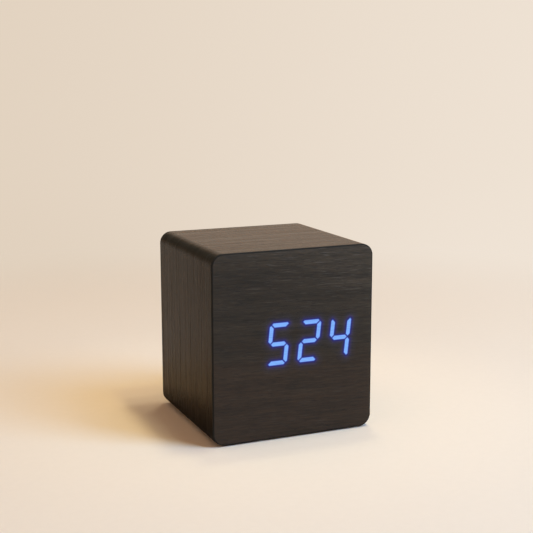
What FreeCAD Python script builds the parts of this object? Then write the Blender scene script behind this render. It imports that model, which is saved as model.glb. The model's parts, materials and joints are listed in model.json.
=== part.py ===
import FreeCAD, Part
import math
import os

from FreeCAD import Vector

# A small block-shaped digital alarm clock. Four mitred fibreboard walls, wrapped in a dark
# wood veneer, hold a front panel with a four-digit LED display that shines through the
# front veneer, and a back panel with the buttons, the mode switch and the power socket.
# Three AAA cells lie in a plastic tray in the floor, behind a hinged door.
#
# Millimetres, +Z up. The display faces -Y and +X is to the right of someone reading it.
# The origin is the middle of the footprint, on the surface that the clock stands on.

# ---- driving dimensions -------------------------------------------------------------
CASE_W = 65.5
CASE_D = 60.0
CASE_H = 72.0
EDGE_R = 4.5            # rounding of the four edges that run from front to back
PAD_T = 0.5             # self-adhesive feet
WRAP_T = 0.5            # veneer wrapped round the four walls
FACE_T = 0.8            # front and back veneer sheets
FACE_EDGE_R = 0.4       # their sanded rims
WALL_T = 5.0
FRONT_PANEL_T = 6.0
BACK_PANEL_T = 5.0

# ---- places that follow from them ---------------------------------------------------
BODY_Z0 = PAD_T
BODY_Z1 = PAD_T + CASE_H
MID_Z = (BODY_Z0 + BODY_Z1) / 2
FRONT_Y = -CASE_D / 2
BACK_Y = CASE_D / 2
WALL_Y0 = FRONT_Y + FACE_T
WALL_Y1 = BACK_Y - FACE_T
INNER_W = CASE_W - 2 * (WRAP_T + WALL_T)
INNER_H = CASE_H - 2 * (WRAP_T + WALL_T)
FLOOR_Z = BODY_Z0 + WRAP_T + WALL_T     # upper side of the bottom wall

# ---- display ------------------------------------------------------------------------
DIGIT_PITCH = 12.7
DIGIT_W = 8.5
DIGIT_H = 16.1
STROKE = 1.67
SEGMENT_GAP = 0.4
CORNER_CUT = 1.37       # 45 degree cut across each digit's outer corners
SLANT = math.tan(math.radians(6.3))
DISPLAY_X = -0.2
DISPLAY_Z = MID_Z + 0.6
REFLECTOR_W = 51.4
REFLECTOR_H = 19.8
CAST_DEPTH = 4.8        # epoxy cast in each segment's cavity
COLON_R = 0.85
COLON_RISE = 3.6
CHIP_SIZE = 0.8
WINDOW_FIT = 0.2
PCB_T = 1.2
DISPLAY_PCB_W = 54.0
DISPLAY_PCB_H = 29.0
PCB_SCREW_X = 24.6
PCB_SCREW_DZ = 12.3
DISPLAY_PCB_Y0 = WALL_Y0 + FRONT_PANEL_T
DISPLAY_PCB_Y1 = DISPLAY_PCB_Y0 + PCB_T
LETTERS = "abcdefg"
DIGITS = (
    ("hour_tens", ""),
    ("hour_units", "acdfg"),
    ("minute_tens", "abdeg"),
    ("minute_units", "bcfg"),
)

# ---- back ---------------------------------------------------------------------------
PLATE_W = 50.0
PLATE_H = 26.0
PLATE_R = 3.0
PLATE_T = 1.6
PLATE_FIT = 0.15
THROUGH_W = 40.0        # opening through the back panel, behind the plate
THROUGH_H = 22.0
THROUGH_R = 2.0
PLATE_Y1 = WALL_Y1
PLATE_Y0 = PLATE_Y1 - PLATE_T
PLATE_SCREW_X = 22.4
BOARD_W = 44.0
BOARD_H = 34.0
BOARD_T = 1.6
BOARD_Y1 = PLATE_Y0 - 10.6
BOARD_Y0 = BOARD_Y1 - BOARD_T
BOSS_X = 17.5
BOSS_DZ = 8.5
BOSS_R = 2.2
BUTTON_PITCH = 11.0
BUTTON_Z = MID_Z + 5.0
BUTTON_R = 2.4
BUTTON_FIT = 0.2
BUTTON_TRAVEL = 0.6
CAP_Y1 = PLATE_Y1 - 0.15
SWITCH_HEIGHT = 3.5     # tact and slide switch bodies, off the board
PLUNGER_R = 1.7
PLUNGER_Y1 = BOARD_Y1 + 4.6
LOWER_Z = MID_Z - 5.5
SLIDER_X = -10.0
SLIDER_TRAVEL = 2.0
JACK_X = 10.0
JACK_BORE_R = 1.85
JACK_BORE_DEPTH = 9.0
MIC_R = 2.2
COIN_X = 10.0
COIN_Z = MID_Z + 2.5
COIN_R = 6.25
COIN_T = 2.0
COIN_Y1 = BOARD_Y0 - 0.3
BUTTONS = ("set", "down", "up")

# ---- wiring -------------------------------------------------------------------------
HEADER_W = 16.0
HEADER_H = 4.0
HEADER_L = 5.5
DISPLAY_HEADER_Z = DISPLAY_Z + 10.4
CONTROL_HEADER_Z = MID_Z + 14.5
RIBBON_W = 12.7
RIBBON_T = 0.9
LEAD_R = 0.6

# ---- battery bay --------------------------------------------------------------------
CELL_R = 5.2
CELL_L = 44.5
NUB_R = 1.9
NUB_L = 0.8
CELL_PITCH = 11.2
CELL_Z = BODY_Z0 + 7.7
CELLS = (("battery_front", -1, 1), ("battery_middle", 0, -1), ("battery_rear", 1, 1))
TRAY_WALL = 1.5
TRAY_W = 51.6
TRAY_D = 36.6
TRAY_H = 15.1
CAVITY_W = TRAY_W - 2 * TRAY_WALL
CAVITY_D = TRAY_D - 2 * TRAY_WALL
TRAY_FIT = 0.1
DOOR_T = 1.8
DOOR_FIT = 0.2
RIM_W = 0.7             # wall left beside the door
DOOR_W = TRAY_W - 2 * (RIM_W + DOOR_FIT)
DOOR_D = TRAY_D - 2 * (RIM_W + DOOR_FIT)
HINGE_R = DOOR_T / 2
HINGE_Y = -DOOR_D / 2 + HINGE_R
HINGE_Z = BODY_Z0 + HINGE_R
PIN_R = 0.6
PIN_FIT = 0.05
CATCH_W = 9.0           # sprung tongue at the door's free edge
CATCH_L = 9.0
CATCH_SLIT = 0.8
CONTACT_T = 0.3
DIMPLE_H = 0.4
SPRING_WIRE_R = 0.3
TAB_Z = BODY_Z0 + TRAY_H + 2.0
EAR_T = 1.6
EAR_SCREW_Y = TRAY_D / 2 + 2.5
PAD_R = 4.0
PAD_X = 23.5
PAD_Y = 23.8

X_AXIS = Vector(1, 0, 0)
Y_AXIS = Vector(0, 1, 0)
Z_AXIS = Vector(0, 0, 1)


# ---- shape helpers ------------------------------------------------------------------
def box(x0, x1, y0, y1, z0, z1):
    return Part.makeBox(x1 - x0, y1 - y0, z1 - z0, Vector(x0, y0, z0))


def soft_box(x0, x1, y0, y1, z0, z1, radius, axis):
    """A box whose four edges along axis are rounded."""
    block = box(x0, x1, y0, y1, z0, z1)
    edges = [e for e in block.Edges if abs(e.tangentAt(e.FirstParameter).dot(axis)) > 0.99]
    return block.makeFillet(radius, edges)


def upright(width, height, radius, y0, y1, x=0.0, z=MID_Z):
    """A slab that stands across the clock, centred on x and z."""
    sides = (x - width / 2, x + width / 2, y0, y1, z - height / 2, z + height / 2)
    if radius:
        return soft_box(*sides, radius, Y_AXIS)
    return box(*sides)


def placed(shape, base, direction):
    """Turns a shape built along +Z to point along direction, from base."""
    shape.Placement = FreeCAD.Placement(base, FreeCAD.Rotation(Z_AXIS, direction))
    return shape


def rod(radius, base, direction, length):
    return Part.makeCylinder(radius, length, base, direction)


def spin(profile, base, direction):
    """Revolves an outline of (radius, height) points about direction."""
    points = [Vector(r, 0, h) for r, h in profile]
    face = Part.Face(Part.makePolygon(points + points[:1]))
    return placed(face.revolve(Vector(), Z_AXIS, 360), base, direction)


def sheet_xz(outline, y0, y1):
    """A prism on an outline of (x, z) points, from y0 to y1."""
    points = [Vector(x, y0, z) for x, z in outline]
    return Part.Face(Part.makePolygon(points + points[:1])).extrude(Vector(0, y1 - y0, 0))


def sheet_yz(outline, x0, x1):
    """A prism on an outline of (y, z) points, from x0 to x1."""
    points = [Vector(x0, y, z) for y, z in outline]
    return Part.Face(Part.makePolygon(points + points[:1])).extrude(Vector(x1 - x0, 0, 0))


def screw(base, direction, radius, length, head_r, head_h, countersunk=False):
    """A cross-head screw. base is the middle of the head's outer face."""
    tip = radius * 1.2
    shank = [(radius, head_h), (radius, length - tip), (0.2, length), (0, length)]
    if countersunk:
        head = [(0, 0), (head_r, 0), (head_r, head_h * 0.15)]
    else:
        head = [(0, 0), (head_r * 0.6, 0), (head_r, head_h * 0.45), (head_r, head_h)]
    body = spin(head + shank, Vector(), Z_AXIS)
    arm = head_r * 0.62
    slot = head_r * 0.13
    depth = head_h * 0.6
    cross = box(-arm, arm, -slot, slot, 0, depth).fuse(box(-slot, slot, -arm, arm, 0, depth))
    return placed(body.cut(cross), base, direction)


def joined(pieces):
    return pieces[0].multiFuse(pieces[1:]).removeSplitter()


def follow(face, points):
    """Sweeps a face, which stands at the first point, along straight runs joined by tangent arcs."""
    share = 0.45
    pieces = []
    radii = []
    start = points[0]
    for before, corner, after in zip(points, points[1:], points[2:]):
        run_in = corner - before
        run_out = after - corner
        reach = share * min(run_in.Length, run_out.Length)
        turn = run_in.getAngle(run_out)
        radius = reach / math.tan(turn / 2)
        axis = run_in.cross(run_out).normalize()
        come = corner - run_in.normalize() * reach
        centre = come + axis.cross(run_in) * radius
        pieces.append(face.extrude(come - start))
        face.translate(come - start)
        pieces.append(face.revolve(centre, axis, math.degrees(turn)))
        face.rotate(centre, axis, math.degrees(turn))
        radii.append(round(radius, 1))
        start = corner + run_out.normalize() * reach
    pieces.append(face.extrude(points[-1] - start))
    print("bend radii", radii)
    return joined(pieces)


def disc(radius, centre, normal):
    return Part.Face(Part.Wire(Part.makeCircle(radius, centre, normal)))


def small_chip(width, height, thick, leads, pitch, x, z, y_board, side):
    """A packaged chip with leads above and below. side is the way it stands off its board."""
    face = y_board + side * 0.1
    top = y_board + side * thick
    y0, y1 = sorted((face, top))
    chip = box(x - width / 2, x + width / 2, y0, y1, z - height / 2, z + height / 2)
    lead_w = 0.4
    lead_l = 1.2
    lead_y = sorted((y_board, y_board + side * 0.7))
    for i in range(leads // 2):
        lead_x = x + (i - (leads / 2 - 1) / 2) * pitch
        for up in (-1, 1):
            z0, z1 = sorted((z + up * height / 2, z + up * (height / 2 + lead_l)))
            chip = chip.fuse(box(lead_x - lead_w / 2, lead_x + lead_w / 2, *lead_y, z0, z1))
    return chip.removeSplitter()


# ---- case ---------------------------------------------------------------------------
def case_prism(inset, y0, y1):
    """The case's rounded outline, drawn in by inset."""
    return upright(CASE_W - 2 * inset, CASE_H - 2 * inset, EDGE_R - inset, y0, y1)


def bay_opening():
    half_w = TRAY_W / 2 + TRAY_FIT
    half_d = TRAY_D / 2 + TRAY_FIT
    return box(-half_w, half_w, -half_d, half_d, -1, FLOOR_Z + 1)


def wrap_veneer():
    outer = case_prism(0, WALL_Y0, WALL_Y1)
    return outer.cut(case_prism(WRAP_T, WALL_Y0, WALL_Y1)).cut(bay_opening())


def wall(side):
    """One mitred wall: "top", "bottom", "left" or "right"."""
    out_w = CASE_W / 2 - WRAP_T
    out_h = CASE_H / 2 - WRAP_T
    in_w = out_w - WALL_T
    in_h = out_h - WALL_T
    if side in ("top", "bottom"):
        way = 1 if side == "top" else -1
        outline = [(-out_w, way * out_h), (out_w, way * out_h), (in_w, way * in_h), (-in_w, way * in_h)]
    else:
        way = 1 if side == "right" else -1
        outline = [(way * out_w, -out_h), (way * out_w, out_h), (way * in_w, in_h), (way * in_w, -in_h)]
    wedge = sheet_xz([(x, MID_Z + z) for x, z in outline], WALL_Y0, WALL_Y1)
    return wedge.common(case_prism(WRAP_T, WALL_Y0, WALL_Y1))


def bottom_wall():
    board = wall("bottom").cut(bay_opening())
    for way in (-1, 1):
        pilot = rod(1.0, Vector(0, way * EAR_SCREW_Y, FLOOR_Z - 4.2), Z_AXIS, 5)
        board = board.cut(pilot)
    return board


def face_sheet(y_out, y_in):
    """A veneer sheet over a whole end of the case, with its outer rim sanded round."""
    y0, y1 = sorted((y_out, y_in))
    sheet = case_prism(0, y0, y1)
    rim = [e for e in sheet.Edges if all(abs(v.Y - y_out) < 1e-6 for v in e.Vertexes)]
    return sheet.makeFillet(FACE_EDGE_R, rim)


def front_panel():
    panel = upright(INNER_W, INNER_H, 0, WALL_Y0, WALL_Y0 + FRONT_PANEL_T)
    window = upright(REFLECTOR_W + 2 * WINDOW_FIT, REFLECTOR_H + 2 * WINDOW_FIT, 0, WALL_Y0 - 1,
                     WALL_Y0 + FRONT_PANEL_T + 1, DISPLAY_X, DISPLAY_Z)
    panel = panel.cut(window)
    for x, z in display_screw_places():
        panel = panel.cut(rod(0.9, Vector(x, WALL_Y0 + FRONT_PANEL_T + 1, z), -Y_AXIS, 5.3))
    return panel


def plate_recess():
    return upright(PLATE_W, PLATE_H, PLATE_R, PLATE_Y0, BACK_Y + 1)


def back_panel():
    panel = upright(INNER_W, INNER_H, 0, WALL_Y1 - BACK_PANEL_T, WALL_Y1)
    through = upright(THROUGH_W, THROUGH_H, THROUGH_R, WALL_Y1 - BACK_PANEL_T - 1, WALL_Y1)
    panel = panel.cut(plate_recess()).cut(through)
    for way in (-1, 1):
        panel = panel.cut(rod(0.85, Vector(way * PLATE_SCREW_X, PLATE_Y0 + 1, MID_Z), -Y_AXIS, 4))
    return panel


def foot_pads():
    profile = [(0, 0), (PAD_R - 0.1, 0), (PAD_R, 0.1), (PAD_R, PAD_T), (0, PAD_T)]
    return [spin(profile, Vector(sx * PAD_X, sy * PAD_Y, 0), Z_AXIS)
            for sx in (-1, 1) for sy in (-1, 1)]


# ---- display ------------------------------------------------------------------------
def clip(outline, nx, nz, least):
    """Keeps the part of a convex outline where nx * x + nz * z is at least that much."""
    kept = []
    for (x0, z0), (x1, z1) in zip(outline, outline[1:] + outline[:1]):
        d0 = nx * x0 + nz * z0 - least
        d1 = nx * x1 + nz * z1 - least
        if d0 >= 0:
            kept.append((x0, z0))
        if d0 * d1 < 0:
            t = d0 / (d0 - d1)
            kept.append((x0 + t * (x1 - x0), z0 + t * (z1 - z0)))
    return kept


def segment_outlines():
    """The seven segments of one upright digit about its centre, before the slant."""
    half_w = DIGIT_W / 2
    half_h = DIGIT_H / 2
    gap = SEGMENT_GAP / math.sqrt(2)
    mitre = half_h - half_w
    cut = CORNER_CUT - half_w - half_h
    tip = half_w - STROKE / 2
    top = [(-half_w, half_h - STROKE), (half_w, half_h - STROKE), (half_w, half_h), (-half_w, half_h)]
    for sx in (-1, 1):
        top = clip(top, sx, 1, mitre + gap)
        top = clip(top, sx, -1, cut)
    side = [(-half_w, 0), (STROKE - half_w, 0), (STROKE - half_w, half_h), (-half_w, half_h)]
    side = clip(side, -1, -1, gap - mitre)
    side = clip(side, 1, -1, cut)
    side = clip(side, -1, 1, tip + gap)
    side = clip(side, 1, 1, gap - tip)
    middle = [(-half_w, -STROKE / 2), (half_w, -STROKE / 2), (half_w, STROKE / 2), (-half_w, STROKE / 2)]
    for sx in (-1, 1):
        for sz in (-1, 1):
            middle = clip(middle, sx, sz, gap - tip)

    def mirrored(outline, sx, sz):
        return [(sx * x, sz * z) for x, z in outline]

    return {"a": top, "b": mirrored(side, -1, 1), "c": mirrored(side, -1, -1), "d": mirrored(top, 1, -1),
            "e": mirrored(side, 1, -1), "f": side, "g": middle}


def slanted(outline, digit):
    """Puts a segment's outline in its digit's place on the display."""
    centre_x = DISPLAY_X + (digit - 1.5) * DIGIT_PITCH
    return [(centre_x + x + z * SLANT, DISPLAY_Z + z) for x, z in outline]


def colon_places():
    return [(DISPLAY_X + way * COLON_RISE * SLANT, DISPLAY_Z + way * COLON_RISE) for way in (-1, 1)]


def segments(digit, letters, depth):
    outlines = segment_outlines()
    return [sheet_xz(slanted(outlines[n], digit), WALL_Y0, WALL_Y0 + depth) for n in letters]


def colon_dots(depth):
    return [rod(COLON_R, Vector(x, WALL_Y0, z), Y_AXIS, depth) for x, z in colon_places()]


def display_reflector():
    block = upright(REFLECTOR_W, REFLECTOR_H, 0, WALL_Y0, WALL_Y0 + FRONT_PANEL_T, DISPLAY_X, DISPLAY_Z)
    wells = colon_dots(FRONT_PANEL_T)
    for digit in range(len(DIGITS)):
        wells += segments(digit, LETTERS, FRONT_PANEL_T)
    return block.cut(Part.makeCompound(wells))


def led_chips():
    """One light-emitting chip on the board behind each segment and colon dot."""
    places = colon_places()
    for digit in range(len(DIGITS)):
        for outline in segment_outlines().values():
            corners = slanted(outline, digit)
            places.append(tuple(sum(c[k] for c in corners) / len(corners) for k in (0, 1)))
    y1 = WALL_Y0 + FRONT_PANEL_T
    return [upright(CHIP_SIZE, CHIP_SIZE, 0, y1 - 0.6, y1, x, z) for x, z in places]


def display_screw_places():
    return [(sx * PCB_SCREW_X, DISPLAY_Z + sz * PCB_SCREW_DZ) for sx in (-1, 1) for sz in (-1, 1)]


def display_board():
    board = upright(DISPLAY_PCB_W, DISPLAY_PCB_H, 1.0, DISPLAY_PCB_Y0, DISPLAY_PCB_Y1, 0, DISPLAY_Z)
    for x, z in display_screw_places():
        board = board.cut(rod(1.05, Vector(x, DISPLAY_PCB_Y0 - 1, z), Y_AXIS, PCB_T + 2))
    return board


def display_board_screws():
    head_h = 0.9
    return [screw(Vector(x, DISPLAY_PCB_Y1 + head_h, z), -Y_AXIS, 0.85, 6.0, 1.7, head_h)
            for x, z in display_screw_places()]


# ---- wiring inside ------------------------------------------------------------------
def ribbon_headers():
    front = upright(HEADER_W, HEADER_H, 0, DISPLAY_PCB_Y1, DISPLAY_PCB_Y1 + HEADER_L, 0, DISPLAY_HEADER_Z)
    back = upright(HEADER_W, HEADER_H, 0, BOARD_Y0 - HEADER_L, BOARD_Y0, 0, CONTROL_HEADER_Z)
    return [front, back]


def ribbon_cable():
    y0 = DISPLAY_PCB_Y1 + HEADER_L
    y1 = BOARD_Y0 - HEADER_L
    route = ((y0, DISPLAY_HEADER_Z), (y0 + 7, DISPLAY_HEADER_Z), (-4, 55), (2, 56),
             (5, CONTROL_HEADER_Z), (y1, CONTROL_HEADER_Z))
    corner = Vector(-RIBBON_W / 2, y0, DISPLAY_HEADER_Z + RIBBON_T / 2)
    section = Part.makePlane(RIBBON_W, RIBBON_T, corner, Y_AXIS, X_AXIS)
    return follow(section, [Vector(0, y, z) for y, z in route])


def lead(route):
    """An insulated wire along a route of points."""
    points = [Vector(*p) for p in route]
    return follow(disc(LEAD_R, points[0], points[1] - points[0]), points)


def battery_leads():
    """Red from the front cell's plus end, black from the rear cell's minus end."""
    tab_x = TRAY_W / 2 - TRAY_WALL - CONTACT_T / 2
    red = ((tab_x, -CELL_PITCH, TAB_Z), (tab_x, -CELL_PITCH, 23), (22, -6, 27), (17.5, 1, 27.5),
           (13, 8, 25), (13, BOARD_Y0, 25))
    black = ((-tab_x, CELL_PITCH, TAB_Z), (-tab_x, CELL_PITCH, 23), (-22, 9, 27), (-18, 8.5, 28.5),
             (-14.5, 10.8, 26.5), (-14.5, BOARD_Y0, 26.5))
    return lead(red), lead(black)


# ---- control board ------------------------------------------------------------------
def boss_places():
    return [(sx * BOSS_X, MID_Z + sz * BOSS_DZ) for sx in (-1, 1) for sz in (-1, 1)]


def button_x(name):
    return (BUTTONS.index(name) - 1) * BUTTON_PITCH


def control_board():
    board = upright(BOARD_W, BOARD_H, 1.0, BOARD_Y0, BOARD_Y1)
    for x, z in boss_places():
        board = board.cut(rod(1.1, Vector(x, BOARD_Y0 - 1, z), Y_AXIS, BOARD_T + 2))
    return board


def control_board_screws():
    head_h = 1.0
    return [screw(Vector(x, BOARD_Y0 - head_h, z), Y_AXIS, 0.95, 7.0, 1.9, head_h)
            for x, z in boss_places()]


def tact_switch_bodies():
    size = 6.0
    well = 2.5
    bodies = []
    for name in BUTTONS:
        x = button_x(name)
        block = upright(size, size, 0.5, BOARD_Y1, BOARD_Y1 + SWITCH_HEIGHT, x, BUTTON_Z)
        hole = rod(PLUNGER_R + 0.05, Vector(x, BOARD_Y1 + SWITCH_HEIGHT + 1, BUTTON_Z), -Y_AXIS, well + 1)
        bodies.append(block.cut(hole))
    return bodies


def plunger(name):
    length = 2.6
    profile = [(0, 0), (PLUNGER_R, 0), (PLUNGER_R, length - 0.2), (PLUNGER_R - 0.2, length), (0, length)]
    return spin(profile, Vector(button_x(name), PLUNGER_Y1 - length, BUTTON_Z), Y_AXIS)


def button_cap(name):
    """A round cap with a retaining flange behind the plate and a sign sunk in its face."""
    stem_r = 1.5
    flange_r = 3.2
    flange_y1 = PLATE_Y0 - 0.2 - PLUNGER_Y1
    flange_y0 = flange_y1 - 0.7
    top = CAP_Y1 - PLUNGER_Y1
    ease = 0.3
    profile = [(0, 0), (stem_r, 0), (stem_r, flange_y0), (flange_r, flange_y0), (flange_r, flange_y1),
               (BUTTON_R, flange_y1), (BUTTON_R, top - ease), (BUTTON_R - ease, top), (0, top)]
    x = button_x(name)
    cap = spin(profile, Vector(x, PLUNGER_Y1, BUTTON_Z), Y_AXIS)
    sink = 0.25
    y0 = CAP_Y1 - sink
    if name == "set":
        centre = Vector(x, y0, BUTTON_Z)
        return cap.cut(rod(1.25, centre, Y_AXIS, 1).cut(rod(0.8, centre, Y_AXIS, 1)))
    way = 1 if name == "up" else -1
    half = 1.2
    arrow = [(x - half, BUTTON_Z - way * 0.7), (x + half, BUTTON_Z - way * 0.7), (x, BUTTON_Z + way * 1.2)]
    return cap.cut(sheet_xz(arrow, y0, CAP_Y1 + 1))


def mode_switch_body():
    """A box with a track for the slider's foot, and lips that keep the foot in."""
    middle = SLIDER_X + SLIDER_TRAVEL / 2
    track_y1 = BOARD_Y1 + 2.9
    block = upright(9.0, 3.8, 0, BOARD_Y1, BOARD_Y1 + SWITCH_HEIGHT, middle, LOWER_Z)
    track = upright(6.0, 2.8, 0, BOARD_Y1 + 1.3, track_y1, middle, LOWER_Z)
    mouth = upright(5.0, 2.0, 0, track_y1 - 0.1, BOARD_Y1 + SWITCH_HEIGHT + 1, middle, LOWER_Z)
    return block.cut(track).cut(mouth)


def mode_switch_slider():
    foot = upright(3.6, 2.6, 0, BOARD_Y1 + 1.4, BOARD_Y1 + 2.8, SLIDER_X, LOWER_Z)
    lever = upright(1.8, 1.8, 0.3, BOARD_Y1 + 2.6, PLATE_Y1 - 0.2, SLIDER_X, LOWER_Z)
    return foot.fuse(lever).removeSplitter()


def dc_jack_body():
    size = 7.0
    nose_r = 3.0
    mouth_y = PLATE_Y1 - 0.3
    block = upright(size, size, 0.4, BOARD_Y1, PLATE_Y0 - 0.6, JACK_X, LOWER_Z)
    nose = rod(nose_r, Vector(JACK_X, PLATE_Y0 - 1.6, LOWER_Z), Y_AXIS, mouth_y - PLATE_Y0 + 1.6)
    bore = rod(JACK_BORE_R, Vector(JACK_X, mouth_y, LOWER_Z), -Y_AXIS, JACK_BORE_DEPTH)
    return block.fuse(nose).cut(bore).removeSplitter()


def dc_jack_pin():
    base_y = PLATE_Y1 - 0.3 - JACK_BORE_DEPTH
    length = JACK_BORE_DEPTH - 1.0
    profile = [(0, 0), (0.65, 0), (0.65, length - 0.35), (0.3, length), (0, length)]
    return spin(profile, Vector(JACK_X, base_y, LOWER_Z), Y_AXIS)


def microphone():
    """A capsule on two legs, close behind the plate's small sound hole."""
    y0 = PLATE_Y0 - 3.2
    depth = 2.7
    profile = [(0, 0), (MIC_R, 0), (MIC_R, depth - 0.2), (MIC_R - 0.2, depth), (0.9, depth),
               (0.9, depth - 0.3), (0, depth - 0.3)]
    legs = [rod(0.25, Vector(way * 1.2, BOARD_Y1, LOWER_Z), Y_AXIS, y0 - BOARD_Y1) for way in (-1, 1)]
    return [spin(profile, Vector(0, y0, LOWER_Z), Y_AXIS), *legs]


def buzzer():
    height = 5.0
    profile = [(0.8, 0), (4.1, 0), (4.5, 0.4), (4.5, height), (0, height), (0, 0.8), (0.8, 0.8)]
    return spin(profile, Vector(-9.0, BOARD_Y0 - height, MID_Z + 7.5), Y_AXIS)


def coin_cell():
    inner_r = COIN_R - 0.5
    profile = [(0, 0), (inner_r, 0), (inner_r, 0.3), (COIN_R, 0.5), (COIN_R, COIN_T), (0, COIN_T)]
    return spin(profile, Vector(COIN_X, COIN_Y1 - COIN_T, COIN_Z), Y_AXIS)


def coin_cell_clip():
    """A sprung bridge over the coin cell, soldered to the board at both ends."""
    thick = 0.3
    half_h = 2.5
    reach = COIN_R + 0.3
    z0 = COIN_Z - half_h
    z1 = COIN_Z + half_h
    y_top = COIN_Y1 - COIN_T
    strap = box(COIN_X - reach - thick, COIN_X + reach + thick, y_top - thick, y_top, z0, z1)
    for way in (-1, 1):
        x0, x1 = sorted((COIN_X + way * reach, COIN_X + way * (reach + thick)))
        strap = strap.fuse(box(x0, x1, y_top - thick, BOARD_Y0, z0, z1))
    return strap.removeSplitter()


def crystal():
    return rod(1.0, Vector(-12.0, BOARD_Y0 - 1.0, MID_Z), X_AXIS, 6.0)


def capacitor():
    height = 7.0
    profile = [(0, 0), (2.3, 0), (2.5, 0.2), (2.5, height - 1.4), (2.3, height - 1.1), (2.5, height - 0.8),
               (2.5, height), (0, height)]
    return spin(profile, Vector(0, BOARD_Y0 - height, MID_Z + 7.5), Y_AXIS)


# ---- back plate ---------------------------------------------------------------------
def rear_plate():
    width = PLATE_W - 2 * PLATE_FIT
    height = PLATE_H - 2 * PLATE_FIT
    plate = upright(width, height, PLATE_R - PLATE_FIT, PLATE_Y0, PLATE_Y1)
    rim = [e for e in plate.Edges if all(abs(v.Y - PLATE_Y1) < 1e-6 for v in e.Vertexes)]
    plate = plate.makeFillet(0.3, rim)
    for x, z in boss_places():
        boss = rod(BOSS_R, Vector(x, BOARD_Y1, z), Y_AXIS, PLATE_Y0 - BOARD_Y1)
        plate = plate.fuse(boss).cut(rod(1.0, Vector(x, BOARD_Y1 - 1, z), Y_AXIS, 7.6))
    holes = [rod(BUTTON_R + BUTTON_FIT, Vector(button_x(n), PLATE_Y0 - 1, BUTTON_Z), Y_AXIS, PLATE_T + 2)
             for n in BUTTONS]
    holes.append(rod(3.1, Vector(JACK_X, PLATE_Y0 - 1, LOWER_Z), Y_AXIS, PLATE_T + 2))
    holes.append(rod(0.6, Vector(0, PLATE_Y0 - 1, LOWER_Z), Y_AXIS, PLATE_T + 2))
    slot_w = SLIDER_TRAVEL + 2.6
    slot_x = SLIDER_X + SLIDER_TRAVEL / 2
    holes.append(upright(slot_w, 2.6, 0.5, PLATE_Y0 - 1, PLATE_Y1 + 1, slot_x, LOWER_Z))
    for way in (-1, 1):
        sink = [(0, 0), (1.7, 0), (1.0, 1.05), (1.0, 3), (0, 3)]
        holes.append(spin(sink, Vector(way * PLATE_SCREW_X, PLATE_Y1, MID_Z), -Y_AXIS))
    return plate.cut(Part.makeCompound(holes)).removeSplitter()


def rear_plate_screws():
    return [screw(Vector(way * PLATE_SCREW_X, PLATE_Y1 - 0.05, MID_Z), -Y_AXIS, 0.8, 4.4, 1.55, 0.95, True)
            for way in (-1, 1)]


# ---- battery bay --------------------------------------------------------------------
def battery_tray():
    z0 = BODY_Z0
    z1 = BODY_Z0 + TRAY_H
    tray = box(-TRAY_W / 2, TRAY_W / 2, -TRAY_D / 2, TRAY_D / 2, z0, z1)
    tray = tray.cut(box(-CAVITY_W / 2, CAVITY_W / 2, -CAVITY_D / 2, CAVITY_D / 2, z0 - 1, z1 - TRAY_WALL))
    half_w = DOOR_W / 2 + DOOR_FIT
    half_d = DOOR_D / 2 + DOOR_FIT
    tray = tray.cut(box(-half_w, half_w, -half_d, half_d, z0 - 1, z0 + DOOR_T + DOOR_FIT))
    for way in (-1, 1):
        rib_y = way * CELL_PITCH / 2
        tray = tray.fuse(box(-18, 18, rib_y - 0.5, rib_y + 0.5, CELL_Z + 2.4, z1 - TRAY_WALL))
        ear_y = sorted((way * TRAY_D / 2, way * (TRAY_D / 2 + 4.7)))
        ear = box(-5, 5, *ear_y, FLOOR_Z, FLOOR_Z + EAR_T)
        hole = rod(1.15, Vector(0, way * EAR_SCREW_Y, FLOOR_Z - 1), Z_AXIS, EAR_T + 2)
        tray = tray.fuse(ear).cut(hole)
        socket = rod(PIN_R + PIN_FIT, Vector(way * half_w, HINGE_Y, HINGE_Z), X_AXIS * way, 0.55)
        tray = tray.cut(socket)
        slot_x = sorted((way * CAVITY_W / 2, way * (CAVITY_W / 2 - CONTACT_T - 0.1)))
        slot_y = -way * CELL_PITCH
        tray = tray.cut(box(*slot_x, slot_y - 1.7, slot_y + 1.7, z1 - TRAY_WALL - 1, z1 + 1))
    catch = box(-CATCH_W / 2 - 0.7, CATCH_W / 2 + 0.7, CAVITY_D / 2 - 1, half_d + 0.5, z0 - 1, z0 + 3.4)
    return tray.cut(catch).removeSplitter()


def battery_tray_screws():
    head_h = 1.0
    return [screw(Vector(0, way * EAR_SCREW_Y, FLOOR_Z + EAR_T + head_h), -Z_AXIS, 0.95, 6.4, 1.9, head_h)
            for way in (-1, 1)]


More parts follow.
